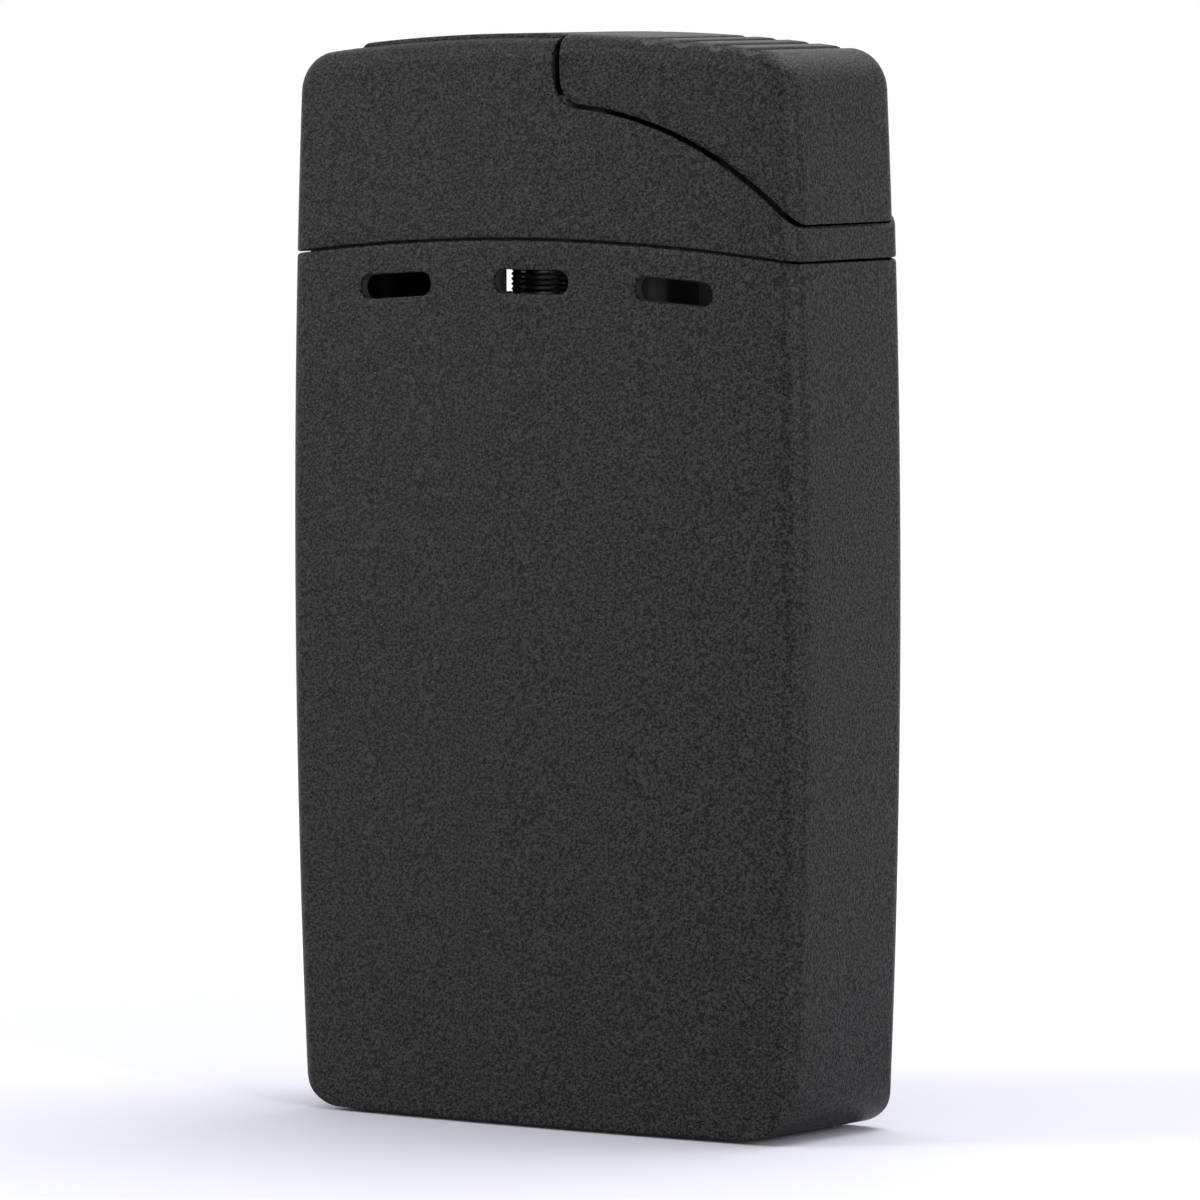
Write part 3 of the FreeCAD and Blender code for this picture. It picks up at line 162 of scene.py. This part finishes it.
def bake(obj):
    """Replaces the object's mesh by what its modifiers make of it."""
    bpy.context.view_layer.update()
    graph = bpy.context.evaluated_depsgraph_get()
    mesh = bpy.data.meshes.new_from_object(obj.evaluated_get(graph))
    obj.modifiers.clear()
    obj.data = mesh


def carve(obj, cutter, operation="DIFFERENCE"):
    mod = obj.modifiers.new("carve", "BOOLEAN")
    mod.operation = operation
    mod.solver = "EXACT"
    mod.object = cutter
    bake(obj)
    bpy.data.objects.remove(cutter)


def prism(name, near, far):
    """A closed solid between two equal rings of points."""
    n = len(near)
    faces = [tuple(range(n)), tuple(range(2 * n - 1, n - 1, -1))]
    faces += [(i, (i + 1) % n, n + (i + 1) % n, n + i) for i in range(n)]
    return mesh_object(name, near + far, faces)


def prism_y(name, outline, y0=-PAST, y1=PAST):
    """A closed outline of (x, z) points extruded along Y."""
    return prism(name, [(x, y0, z) for x, z in outline], [(x, y1, z) for x, z in outline])


def prism_z(name, plan, z0, z1):
    """A closed plan of (x, y) points extruded along Z."""
    return prism(name, [(x, y, z0) for x, y in plan], [(x, y, z1) for x, y in plan])


def arc_points(x, z, r, start, end, count):
    points = []
    for i in range(count + 1):
        a = math.radians(start + (end - start) * i / count)
        points.append((x + r * math.cos(a), z + r * math.sin(a)))
    return points


def disc_points(x, z, r):
    return arc_points(x, z, r, 0, 360, DISC_STEPS)[:-1]


# ------------------------------------------------------------------ the crowned form
def face_y(x, inset):
    """Distance of a broad face from the middle plane."""
    r = FACE_R - inset
    return math.sqrt(r * r - x * x) - (FACE_R - DEPTH / 2)


def half_width(z, inset=0.0):
    """Distance of a side from the middle, at a height."""
    r = SIDE_R - inset
    return WIDTH / 2 - SIDE_R + math.sqrt(r * r - (z - MID_Z) ** 2)


def seam_z(x):
    return SEAM_TOP_Z - SEAM_R + math.sqrt(SEAM_R ** 2 - x * x)


def crest(side, top):
    """Upper outline from the right corner's start over the top to the left corner's start: (x, z, nx, nz)."""
    cx = WIDTH / 2 - SIDE_R
    cz = HEIGHT - TOP_ARC_R
    rc = max(TOP_CORNER_R - side, CORNER_R_MIN)
    reach_side, rt = SIDE_R - side - rc, TOP_ARC_R - top
    low, high = HEIGHT - 8.0, HEIGHT
    for _ in range(60):
        z = (low + high) / 2
        x = cx + math.sqrt(reach_side ** 2 - (z - MID_Z) ** 2)
        low, high = (z, high) if math.hypot(x, z - cz) < rt - rc else (low, z)
    a_side, a_top = math.atan2(z - MID_Z, x - cx), math.atan2(z - cz, x)
    right = []
    for i in range(CORNER_STEPS):
        a = a_side + (a_top - a_side) * i / CORNER_STEPS
        right.append((x + rc * math.cos(a), z + rc * math.sin(a), math.cos(a), math.sin(a)))
    for i in range(TOP_STEPS + 1):
        a = a_top + (math.pi / 2 - a_top) * i / TOP_STEPS
        right.append((rt * math.cos(a), cz + rt * math.sin(a), math.cos(a), math.sin(a)))
    return right + [(-px, pz, -nx, nz) for px, pz, nx, nz in reversed(right[:-1])]


def across(x, z, nx, nz, edge, face):
    """Section over the narrow side, from the front face round both edges to the rear face."""
    qx, qz = x - nx * edge, z - nz * edge
    yc = face_y(qx, face) - edge
    front = []
    for i in range(ROUND_STEPS + 1):
        a = math.pi / 2 * i / ROUND_STEPS
        front.append((qx + nx * edge * math.sin(a), -(yc + edge * math.cos(a)), qz + nz * edge * math.sin(a)))
    middle = [(x, yc * f, z) for f in (-1 / 3, 1 / 3)]
    return front + middle + [(px, -py, pz) for px, py, pz in reversed(front)]


def form(name, side=0.0, face=0.0, top=0.0, *, rows, rim=None, domed=True):
    """Closed mesh of the crowned body. rows are (height at the side, share of the cap line's arch).
    rim is a rounding (radius, at the first or the last row); domed closes it with the rounded top."""
    edge = max(EDGE_R - max(side, min(face, top)), EDGE_R_MIN)
    peak = crest(side, top)
    inner = [(x - nx * edge, z - nz * edge) for x, z, nx, nz in peak]
    reach = inner[0][0]
    share = [x / reach for x, z in inner]
    count = len(share)
    steps = [(z, w, 0.0) for z, w in rows]
    if rim:
        radius, where = rim
        z, w = rows[where]
        sign = 1 if where == -1 else -1
        turned = []
        for i in range(RIM_STEPS + 1):
            a = math.pi / 2 * i / RIM_STEPS
            turned.append((z - sign * radius * (1 - math.sin(a)), w, radius * (1 - math.cos(a))))
        steps = steps[:-1] + turned if where == -1 else list(reversed(turned)) + steps[1:]
    if domed:
        steps.append((peak[0][1], 0.0, 0.0))
    verts, faces, loops = [], [], []
    for z, w, inset in steps:
        e = max(edge - inset, RIM_EDGE_R_MIN)
        x = half_width(z, side + inset)
        nz = (z - MID_Z) / SIDE_R * (1 - w)
        nx = math.sqrt(1 - nz * nz)
        ends = across(x, z, nx, nz, e, face + inset)
        right = [(px, py, pz + w * (seam_z(px) - seam_z(x))) for px, py, pz in ends]
        left = [(-px, py, pz) for px, py, pz in right]
        rx, _, rz = ends[0]
        front = []
        for f in share:
            fx = rx * f
            front.append((fx, -face_y(fx, face + inset), rz + w * (seam_z(fx) - seam_z(x))))
        back = [(px, -py, pz) for px, py, pz in front]
        loop = list(reversed(front)) + right[1:-1] + back + list(reversed(left[1:-1]))
        start = len(verts)
        verts += loop
        loops.append(list(range(start, start + len(loop))))
    size = len(loops[0])
    for low, high in zip(loops, loops[1:]):
        faces += [(low[k], low[(k + 1) % size], high[(k + 1) % size], high[k]) for k in range(size)]
    side_count = 2 * ROUND_STEPS + 2

    def close(loop):
        front, back = loop[:count], loop[count + side_count:2 * count + side_count]
        strips = [(front[k], front[k + 1], back[count - 2 - k], back[count - 1 - k])
                  for k in range(count - 1)]
        right = [front[-1]] + loop[count:count + side_count] + [back[0]]
        left = [back[-1]] + loop[2 * count + side_count:] + [front[0]]
        return strips + [tuple(right), tuple(left)]

    faces += close(loops[0])
    if not domed:
        faces += close(loops[-1])
        return mesh_object(name, verts, faces)
    last = loops[-1]
    front_row = list(reversed(last[:count]))
    back_row = last[count + side_count:2 * count + side_count]
    right_ids = [front_row[0]] + last[count:count + side_count] + [back_row[0]]
    left_ids = [front_row[-1]] + list(reversed(last[2 * count + side_count:])) + [back_row[-1]]
    base_z = verts[front_row[0]][2]
    band = [right_ids]
    for x, z, nx, nz in peak[1:-1]:
        start = len(verts)
        verts += across(x, z, nx, nz, edge, face)
        band.append(list(range(start, start + side_count + 2)))
    band.append(left_ids)
    for a, b in zip(band, band[1:]):
        faces += [(a[k], a[k + 1], b[k + 1], b[k]) for k in range(side_count + 1)]
    for row, sign, pick in ((front_row, -1, 0), (back_row, 1, -1)):
        columns = [[row[0]] * (LIFT_STEPS + 1)]
        for k in range(1, count - 1):
            x, z = inner[k]
            column = [row[k]]
            for v in range(1, LIFT_STEPS):
                column.append(len(verts))
                verts.append((x, sign * face_y(x, face), base_z + (z - base_z) * v / LIFT_STEPS))
            columns.append(column + [band[k][pick]])
        columns.append([row[-1]] * (LIFT_STEPS + 1))
        for a, b in zip(columns, columns[1:]):
            for v in range(LIFT_STEPS):
                quad = []
                for corner in (a[v], b[v], b[v + 1], a[v + 1]):
                    if corner not in quad:
                        quad.append(corner)
                if len(quad) > 2:
                    faces.append(tuple(quad))
    return mesh_object(name, verts, faces)


def levels(z0, z1, count, w0=0.0, w1=0.0):
    """Evenly spaced rows for form, from one height and arch share to another."""
    return [(z0 + (z1 - z0) * i / count, w0 + (w1 - w0) * i / count) for i in range(count + 1)]


def foot(name, side, floor):
    """Space above the floor and inside the rounded bottom corners."""
    r = max(BASE_CORNER_R - side, CORNER_R_MIN)
    z = floor + r
    x = WIDTH / 2 - SIDE_R + math.sqrt((SIDE_R - side - r) ** 2 - (z - MID_Z) ** 2)
    lean = math.degrees(math.asin((z - MID_Z) / (SIDE_R - side - r)))
    right = arc_points(x, z, r, -90, lean, 14)
    left = [(-px, pz) for px, pz in reversed(right)]
    shoulder, above = right[-1][1], 99.0
    sides = [(WIDTH, shoulder), (WIDTH, above), (-WIDTH, above), (-WIDTH, shoulder)]
    return prism_y(name, right + sides + left)


def trigger_zone(name, gap, left_gap):
    """Outline of the trigger seen from the front, grown by the given gaps."""
    px, pz = PIVOT
    ax, az = TRIGGER_ARC
    rise = math.degrees(math.atan2(pz - az, px - ax))
    r = math.hypot(px - ax, pz - az) - TRIGGER_NOSE_R - gap
    reach = math.degrees(math.acos((WIDTH / 2 + ZONE_PAST_X - ax) / r))
    nose_r = TRIGGER_NOSE_R + gap
    points = arc_points(px, pz, nose_r, 180, 180 + rise, ARC_STEPS)
    points += arc_points(ax, az, r, rise, reach, 3 * ARC_STEPS)[1:]
    above = HEIGHT + ZONE_PAST_Z
    points += [(points[-1][0], above), (px - nose_r, above)]
    extra = left_gap - gap
    if extra > 0:
        points[-1] = (px - nose_r - extra, above)
        points.append((px - nose_r - extra, pz + ZONE_STEP_Z))
    return prism_y(name, points)


def plan_block(name, inset, x0, x1, z0, z1):
    """Block between two heights whose broad sides follow the crown."""
    count = 40
    front, back = [], []
    for i in range(count + 1):
        x = x0 + (x1 - x0) * i / count
        front.append((x, -face_y(x, inset)))
        back.append((x, face_y(x, inset)))
    return prism_z(name, front + list(reversed(back)), z0, z1)


def base_block(name, grow, z0, z1):
    """The base plate's rounded plan, grown all round."""
    half = BASE_HALF_X + grow
    r = BASE_PLATE_R + grow
    y_end = face_y(half - r, BASE_INSET - grow) - r
    quarter = [(half - r + r * math.cos(a), y_end + r * math.sin(a))
               for a in (math.pi / 2 * i / ROUND_STEPS for i in range(ROUND_STEPS + 1))]
    count = 30
    edge_x = [(half - r) * (1 - 2 * i / count) for i in range(1, count)]
    edge = [(x, face_y(x, BASE_INSET - grow)) for x in edge_x]
    upper = quarter + edge + [(-x, y) for x, y in reversed(quarter)]
    return prism_z(name, upper + [(x, -y) for x, y in reversed(upper)], z0, z1)


def box(name, x0, x1, y0, y1, z0, z1):
    return prism_y(name, [(x0, z0), (x1, z0), (x1, z1), (x0, z1)], y0, y1)


# ------------------------------------------------------------------ finishing a piece
BEVEL_SEGMENTS = 3
BEVEL_ANGLE = math.radians(40)
SKIN_SPLIT_ANGLE = math.radians(35)
NODE_SPLIT_ANGLE = math.radians(30)


def finish_piece(obj, body, node, mat, bevel, weld=0.004):
    """Rounds the sharp edges, smooths the rest, paints the piece and ties it to its body."""
    mesh = obj.data
    bm = bmesh.new()
    bm.from_mesh(mesh)
    bmesh.ops.remove_doubles(bm, verts=bm.verts, dist=weld * MM)
    bm.to_mesh(mesh)
    bm.free()
    mesh.materials.clear()
    mesh.materials.append(mat)
    mod = obj.modifiers.new("rounded edges", "BEVEL")
    mod.width = bevel * MM
    mod.segments = BEVEL_SEGMENTS
    mod.limit_method = "ANGLE"
    mod.angle_limit = BEVEL_ANGLE
    mod.use_clamp_overlap = False
    mod.harden_normals = False
    mod.loop_slide = False
    bake(obj)
    obj.data.shade_smooth()
    obj.modifiers.new("crisp", "EDGE_SPLIT").split_angle = SKIN_SPLIT_ANGLE
    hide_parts(node)
    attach(obj, body)


# ------------------------------------------------------------------ materials
def new_material(name):
    mat = bpy.data.materials.new(name)
    mat.use_nodes = True
    tree = mat.node_tree
    tree.nodes.clear()
    out = tree.nodes.new("ShaderNodeOutputMaterial")
    shader = tree.nodes.new("ShaderNodeBsdfPrincipled")
    tree.links.new(shader.outputs["BSDF"], out.inputs["Surface"])
    return mat, tree, shader


def add(tree, kind, **inputs):
    node = tree.nodes.new(kind)
    for key, value in inputs.items():
        if key in node.inputs:
            node.inputs[key].default_value = value
        else:
            setattr(node, key, value)
    return node


def coords(tree, scale):
    place = add(tree, "ShaderNodeTexCoord")
    mapping = add(tree, "ShaderNodeMapping")
    mapping.inputs["Scale"].default_value = scale
    tree.links.new(place.outputs["Object"], mapping.inputs["Vector"])
    return mapping.outputs["Vector"]


def two_tone(tree, factor, low, high, start=0.3, end=0.7):
    """Colour that runs from low to high as the factor runs from start to end."""
    ramp = add(tree, "ShaderNodeValToRGB")
    ramp.color_ramp.elements[0].position = start
    ramp.color_ramp.elements[0].color = (*low, 1)
    ramp.color_ramp.elements[1].position = end
    ramp.color_ramp.elements[1].color = (*high, 1)
    tree.links.new(factor, ramp.inputs["Fac"])
    return ramp.outputs["Color"]


WRINKLE_SIZE = 0.26
WRINKLE_DEPTH = 0.09
WRINKLE_ROUGH = (0.32, 0.46)
WRINKLE_RAMP = (0.42, 0.6)
SWELL_SHARE = 0.6
COAT_SPECULAR = 0.115


def wrinkle_coat(name, dark, light):
    """Black powder coat that shrinks into fine irregular wrinkles as it cures."""
    mat, tree, shader = new_material(name)
    vec = coords(tree, (1 / (WRINKLE_SIZE * MM),) * 3)
    grain = add(tree, "ShaderNodeTexNoise", Scale=1.45, Detail=1.5, Roughness=0.7, Distortion=0.5)
    tree.links.new(vec, grain.inputs["Vector"])
    swell = add(tree, "ShaderNodeTexNoise", Scale=0.45, Detail=2.0, Roughness=0.5)
    tree.links.new(vec, swell.inputs["Vector"])
    height = add(tree, "ShaderNodeMath", operation="MULTIPLY_ADD")
    height.inputs[1].default_value = SWELL_SHARE
    tree.links.new(swell.outputs["Fac"], height.inputs[0])
    tree.links.new(grain.outputs["Fac"], height.inputs[2])
    bump = add(tree, "ShaderNodeBump", Strength=1.0, Distance=WRINKLE_DEPTH * MM)
    tree.links.new(height.outputs["Value"], bump.inputs["Height"])
    tree.links.new(bump.outputs["Normal"], shader.inputs["Normal"])
    colour = two_tone(tree, grain.outputs["Fac"], dark, light, *WRINKLE_RAMP)
    tree.links.new(colour, shader.inputs["Base Color"])
    spread = add(tree, "ShaderNodeMapRange")
    spread.inputs["To Min"].default_value = WRINKLE_ROUGH[1]
    spread.inputs["To Max"].default_value = WRINKLE_ROUGH[0]
    tree.links.new(grain.outputs["Fac"], spread.inputs["Value"])
    tree.links.new(spread.outputs["Result"], shader.inputs["Roughness"])
    shader.inputs["Specular IOR Level"].default_value = COAT_SPECULAR
    return mat


def worked(name, low, high, metallic, rough, scale, depth, stretch=(1, 1, 1), coat=0.0):
    """A worked surface: tool marks, drawing lines or moulded grain, by the stretch of its noise.
    low and high are its colours, rough its roughness range, scale and depth its grain in mm."""
    mat, tree, shader = new_material(name)
    vec = coords(tree, tuple(s / (scale * MM) for s in stretch))
    noise = add(tree, "ShaderNodeTexNoise", Scale=1.0, Detail=4.0, Roughness=0.55)
    tree.links.new(vec, noise.inputs["Vector"])
    tree.links.new(two_tone(tree, noise.outputs["Fac"], low, high), shader.inputs["Base Color"])
    spread = add(tree, "ShaderNodeMapRange")
    spread.inputs["To Min"].default_value = rough[0]
    spread.inputs["To Max"].default_value = rough[1]
    tree.links.new(noise.outputs["Fac"], spread.inputs["Value"])
    tree.links.new(spread.outputs["Result"], shader.inputs["Roughness"])
    bump = add(tree, "ShaderNodeBump", Strength=0.6, Distance=depth * MM)
    tree.links.new(noise.outputs["Fac"], bump.inputs["Height"])
    tree.links.new(bump.outputs["Normal"], shader.inputs["Normal"])
    shader.inputs["Metallic"].default_value = metallic
    shader.inputs["Coat Weight"].default_value = coat
    return mat


COAT = wrinkle_coat("wrinkle_coat", (0.0013, 0.0013, 0.0013), (0.0199, 0.0196, 0.0192))
# the trigger wears the same coat as the cap; this copy's lighter tone is a little darker as painted shade
SHADED_TRIGGER_COAT = wrinkle_coat("wrinkle_coat_trigger_painted_shade", (0.0013, 0.0013, 0.0013), (0.0192, 0.0189, 0.0185))
MATTE_BLACK = worked("matte_black", (0.006, 0.006, 0.006), (0.012, 0.012, 0.012), 0.0, (0.6, 0.8), 0.4, 0.01)
DARK_STEEL = worked("dark_steel", (0.06, 0.06, 0.065), (0.14, 0.14, 0.15), 1.0, (0.35, 0.5),
                    0.3, 0.004, (1, 1, 6))
STEEL = worked("steel", (0.42, 0.42, 0.43), (0.62, 0.62, 0.63), 1.0, (0.22, 0.38), 0.25, 0.003, (6, 1, 6))
SPRING = worked("spring_wire", (0.38, 0.38, 0.39), (0.6, 0.6, 0.61), 1.0, (0.2, 0.3), 0.2, 0.002)
BRASS = worked("brass", (0.48, 0.34, 0.14), (0.66, 0.49, 0.22), 1.0, (0.2, 0.36), 0.2, 0.003, (1, 1, 8))
BURNER = worked("burner_metal", (0.46, 0.46, 0.46), (0.72, 0.71, 0.7), 1.0, (0.14, 0.28),
                0.25, 0.003, (1, 1, 8))
HEAT_TINT = worked("heat_tinted", (0.17, 0.13, 0.12), (0.42, 0.36, 0.3), 1.0, (0.3, 0.5), 0.8, 0.004)
PLASTIC = worked("black_plastic", (0.010, 0.010, 0.010), (0.020, 0.020, 0.020), 0.0, (0.5, 0.65), 0.12, 0.004)
BASE_PLASTIC = worked("base_plastic", (0.008, 0.008, 0.008), (0.016, 0.016, 0.016), 0.0, (0.55, 0.7),
                      0.15, 0.006)
SMOKE = worked("smoked_tank", (0.012, 0.012, 0.014), (0.03, 0.03, 0.034), 0.0, (0.12, 0.25),
               1.5, 0.004, coat=0.4)
RUBBER = worked("rubber", (0.010, 0.010, 0.010), (0.022, 0.022, 0.022), 0.0, (0.7, 0.9), 0.1, 0.003)
CERAMIC = worked("ceramic", (0.66, 0.65, 0.6), (0.8, 0.79, 0.75), 0.0, (0.2, 0.4), 0.4, 0.002, coat=0.5)
LEAD = worked("wire_jacket", (0.012, 0.012, 0.012), (0.025, 0.025, 0.025), 0.0, (0.4, 0.55), 0.2, 0.002)

NODE_LOOKS = {
    "case_liner": MATTE_BLACK, "flame_guard": MATTE_BLACK, "chassis": MATTE_BLACK,
    "chassis_screws": DARK_STEEL, "base_screws": DARK_STEEL, "link_plate": DARK_STEEL,
    "valve_lever": DARK_STEEL, "trigger_pin": STEEL, "lid_hinge_pin": STEEL, "valve_lever_pin": STEEL,
    "piezo_hammer": STEEL, "electrode": STEEL, "link_spring": SPRING, "valve_spring": SPRING,
    "piezo_spring": SPRING, "fill_valve_spring": SPRING, "burner_tube": BURNER, "burner_nut": BRASS,
    "burner_head": HEAT_TINT, "valve_body": BRASS, "valve_stem": BRASS, "gas_tube": BRASS,
    "fill_valve_body": BRASS, "fill_valve_stem": BRASS, "regulator_body": BRASS, "flame_adjuster": BRASS,
    "valve_seal": RUBBER, "fill_valve_seal": RUBBER, "adjuster_seal": RUBBER,
    "piezo_housing": PLASTIC, "piezo_plunger": PLASTIC, "piezo_lead": LEAD,
    "piezo_crystal": CERAMIC, "electrode_insulator": CERAMIC,
    "fuel_tank": SMOKE, "tank_cover": SMOKE, "base_plate": BASE_PLASTIC, "flame_lid": COAT,
}
for node_name, look in NODE_LOOKS.items():
    node = NODES[node_name]
    node.data.materials.clear()
    node.data.materials.append(look)
    node.data.shade_smooth()
    node.modifiers.new("crisp", "EDGE_SPLIT").split_angle = NODE_SPLIT_ANGLE


# ------------------------------------------------------------------ case, cap and trigger
SEAM_SIDE_Z = seam_z(half_width(SEAM_TOP_Z - SEAM_SIDE_DROP))
CASE_TOP = SEAM_SIDE_Z - SEAM_GAP / 2
CAP_FOOT = SEAM_SIDE_Z + SEAM_GAP / 2


def case_rows(z0, z1):
    """Rows that are level low down and follow the cap line's arch near the top."""
    return (levels(z0, ARCH_Z0, 16)[:-1] + levels(ARCH_Z0, ARCH_Z1, 7, 0.0, 1.0)
            + levels(ARCH_Z1, z1, 6, 1.0, 1.0)[1:])


def case_skin():
    """Thin painted lower shell, open under the cap line and for the base plate, with its vent slots."""
    skin = form("case_skin", rows=case_rows(-2.0, CASE_TOP), rim=(CASE_RIM_R, -1), domed=False)
    carve(skin, foot("foot", 0, CASE_FLOOR), "INTERSECT")
    core = form("core", SKIN_T, SKIN_T, SKIN_T, rows=case_rows(-1.5, CORE_TOP_Z), domed=False)
    carve(core, foot("core_foot", SKIN_T, CASE_FLOOR + SKIN_T), "INTERSECT")
    carve(skin, core)
    for x, z, lean in SLOTS:
        r = SLOT_H / 2
        half = SLOT_W / 2 - r
        points = arc_points(half, 0, r, -90, 90, 16) + arc_points(-half, 0, r, 90, 270, 16)
        a = math.radians(-lean)
        turned = [(x + px * math.cos(a) - pz * math.sin(a), z + px * math.sin(a) + pz * math.cos(a))
                  for px, pz in points]
        carve(skin, prism_y("slot", turned))
    carve(skin, base_block("opening", BASE_OPENING_GROW, -1.0, 1.0))
    return skin


def cap_skin():
    """Thin painted upper shell, open for the trigger and the lid."""
    rows = levels(CAP_FOOT, CAP_LEVEL_Z, 5, 1.0, CAP_LEVEL_SHARE)
    rows += levels(CAP_LEVEL_Z, CAP_ROWS_TOP_Z, 6, CAP_LEVEL_SHARE, 0.0)[1:]
    skin = form("cap_skin", 0, 0, CAP_DROP, rows=rows, rim=(CAP_RIM_R, 0))
    core = form("core", SKIN_T, SKIN_T, CAP_DROP + SKIN_T, rows=levels(50.0, CAP_ROWS_TOP_Z, 8))
    carve(skin, core)
    carve(skin, trigger_zone("zone", TRIGGER_GAP, TRIGGER_LEFT_GAP))
    hinge_end = LID_HINGE_X - LID_BARREL_R - LID_GAP
    inset = LID_INSET - LID_GAP
    carve(skin, plan_block("opening", inset, hinge_end, PIVOT[0], LID_OPENING_Z0, LID_OPENING_Z1))
    return skin


def trigger_body():
    """Hollow thumb trigger with its grip grooves, pivot lugs and the pads that press the linkage."""
    body = form("trigger_body", 0, TRIGGER_RECESS, 0, rows=levels(50.0, CAP_ROWS_TOP_Z, 10))
    carve(body, trigger_zone("zone", 0, 0), "INTERSECT")
    for x in GRIP_X:
        top = HEIGHT - x * x / (2 * TOP_ARC_R)
        carve(body, prism_y("grip", disc_points(x, top + GRIP_R - GRIP_DEPTH, GRIP_R)))
    hollow = form("hollow", TRIGGER_WALL, TRIGGER_RECESS + TRIGGER_WALL, TRIGGER_ROOF,
                  rows=levels(48.0, 61.0, 8))
    carve(hollow, box("left", -40, TRIGGER_LEFT_WALL_X, -PAST, PAST, 30, 90))
    carve(body, hollow)
    px, pz = PIVOT
    lug_top = HEIGHT - TRIGGER_ROOF + LUG_SINK
    for y0, y1 in ((-LUG_Y1, -LUG_Y0), (LUG_Y0, LUG_Y1)):
        outline = arc_points(px, pz, LUG_R, 180, 360, ARC_STEPS)
        outline += [(px + LUG_R, lug_top), (px - LUG_R, lug_top)]
        carve(body, prism_y("lug", outline, y0, y1), "UNION")
    for x, r, y0, y1 in PADS:
        outline = arc_points(x, PAD_Z, r, 180, 360, ARC_STEPS)
        outline += [(x + r, PAD_TOP_Z), (x - r, PAD_TOP_Z)]
        carve(body, prism_y("pad", outline, y0, y1), "UNION")
    carve(body, prism_y("bore", disc_points(px, pz, PIVOT_BORE_R), -PIVOT_BORE_HALF, PIVOT_BORE_HALF))
    return body


finish_piece(case_skin(), "body", "case_shell", COAT, bevel=0.08)
finish_piece(cap_skin(), "body", "cap_shell", COAT, bevel=0.07, weld=0.015)
# the trigger gets the copy of the coat that carries painted shade
finish_piece(trigger_body(), "thumb_trigger", "trigger", SHADED_TRIGGER_COAT, bevel=0.1, weld=0.03)


# ------------------------------------------------------------------ floor, light and camera
# the floor's near colour is painted shade: darker and bluer around the lighter, running out to the far colour
# between the two distances below
FLOOR_PAINTED_SHADE = (0.5, 0.502, 0.565)
FLOOR_FAR = (0.75, 0.75, 0.77)
PAINTED_SHADE_FROM = 60
PAINTED_SHADE_TO = 260
FADE_FROM = 150
FADE_TO = 400
FLOOR_ROUGH = 0.7
FLOOR_SPECULAR = 0.2


def smooth_range(tree, value, start, end):
    """Smooth step of a length between two distances in millimetres."""
    step = add(tree, "ShaderNodeMapRange", interpolation_type="SMOOTHSTEP")
    step.inputs["From Min"].default_value = start * MM
    step.inputs["From Max"].default_value = end * MM
    tree.links.new(value, step.inputs["Value"])
    return step


def floor():
    """Pale paper under the lighter, painted darker and bluer near it as painted shade, that fades into the
    white studio.
    """
    rings, spokes = (0.0, 60.0, 160.0, 420.0), 96
    verts = [(0, 0, 0)]
    for r in rings[1:]:
        verts += [(r * math.cos(2 * math.pi * k / spokes), r * math.sin(2 * math.pi * k / spokes), 0)
                  for k in range(spokes)]
    faces = [(0, 1 + k, 1 + (k + 1) % spokes) for k in range(spokes)]
    for ring in range(len(rings) - 2):
        a, b = 1 + ring * spokes, 1 + (ring + 1) * spokes
        faces += [(a + k, b + k, b + (k + 1) % spokes, a + (k + 1) % spokes) for k in range(spokes)]
    sheet = mesh_object("floor", verts, faces)
    mat, tree, shader = new_material("floor_paper")
    place = add(tree, "ShaderNodeTexCoord")
    length = add(tree, "ShaderNodeVectorMath", operation="LENGTH")
    tree.links.new(place.outputs["Object"], length.inputs[0])
    # painted shade: the floor is darker near the lighter and paler further out
    reach = smooth_range(tree, length.outputs["Value"], PAINTED_SHADE_FROM, PAINTED_SHADE_TO)
    colour = two_tone(tree, reach.outputs["Result"], FLOOR_PAINTED_SHADE, FLOOR_FAR, 0.0, 1.0)
    tree.links.new(colour, shader.inputs["Base Color"])
    fade = smooth_range(tree, length.outputs["Value"], FADE_FROM, FADE_TO)
    fade.inputs["To Min"].default_value = 1.0
    fade.inputs["To Max"].default_value = 0.0
    tree.links.new(fade.outputs["Result"], shader.inputs["Alpha"])
    shader.inputs["Roughness"].default_value = FLOOR_ROUGH
    shader.inputs["Specular IOR Level"].default_value = FLOOR_SPECULAR
    sheet.data.materials.append(mat)


TARGET = Vector((0, 0, 33))


def area_light(name, place, size, power):
    """Rectangular softbox at a place in millimetres, aimed at the lighter's middle."""
    data = bpy.data.lights.new(name, "AREA")
    data.shape = "RECTANGLE"
    data.size, data.size_y = (s * MM for s in size)
    data.energy = power
    obj = bpy.data.objects.new(name, data)
    bpy.context.scene.collection.objects.link(obj)
    obj.location = Vector(place) * MM
    obj.rotation_euler = (TARGET * MM - obj.location).to_track_quat("-Z", "Y").to_euler()


bpy.context.scene.view_settings.view_transform = "Standard"
floor()
area_light("softbox_top", (60, 120, 400), (300, 300), 1.6)
area_light("softbox_left", (-330, -330, 260), (180, 240), 1.6)
area_light("softbox_right", (420, 40, 170), (160, 240), 0.05)
area_light("strip_edge", (400, -195, 60), (24, 300), 1.6)

world = bpy.data.worlds.new("studio")
bpy.context.scene.world = world
world.use_nodes = True
world.node_tree.nodes["Background"].inputs["Color"].default_value = (1, 1, 1, 1)
world.node_tree.nodes["Background"].inputs["Strength"].default_value = 1.0

CAMERA_AT = Vector((350.487, -485.742, 72.710)) * MM
LOOK_AT = Vector((0.4036, 0, 31.619)) * MM
CAMERA_ROLL = math.radians(-0.165)
camera_data = bpy.data.cameras.new("camera")
camera_data.sensor_width = 36.0
camera_data.lens = 296.93
camera_data.clip_start = 0.01
camera_data.clip_end = 20
camera = bpy.data.objects.new("camera", camera_data)
bpy.context.scene.collection.objects.link(camera)
aim = (LOOK_AT - CAMERA_AT).to_track_quat("-Z", "Y").to_matrix().to_4x4()
camera.matrix_world = Matrix.Translation(CAMERA_AT) @ aim @ Matrix.Rotation(CAMERA_ROLL, 4, "Z")
bpy.context.scene.camera = camera
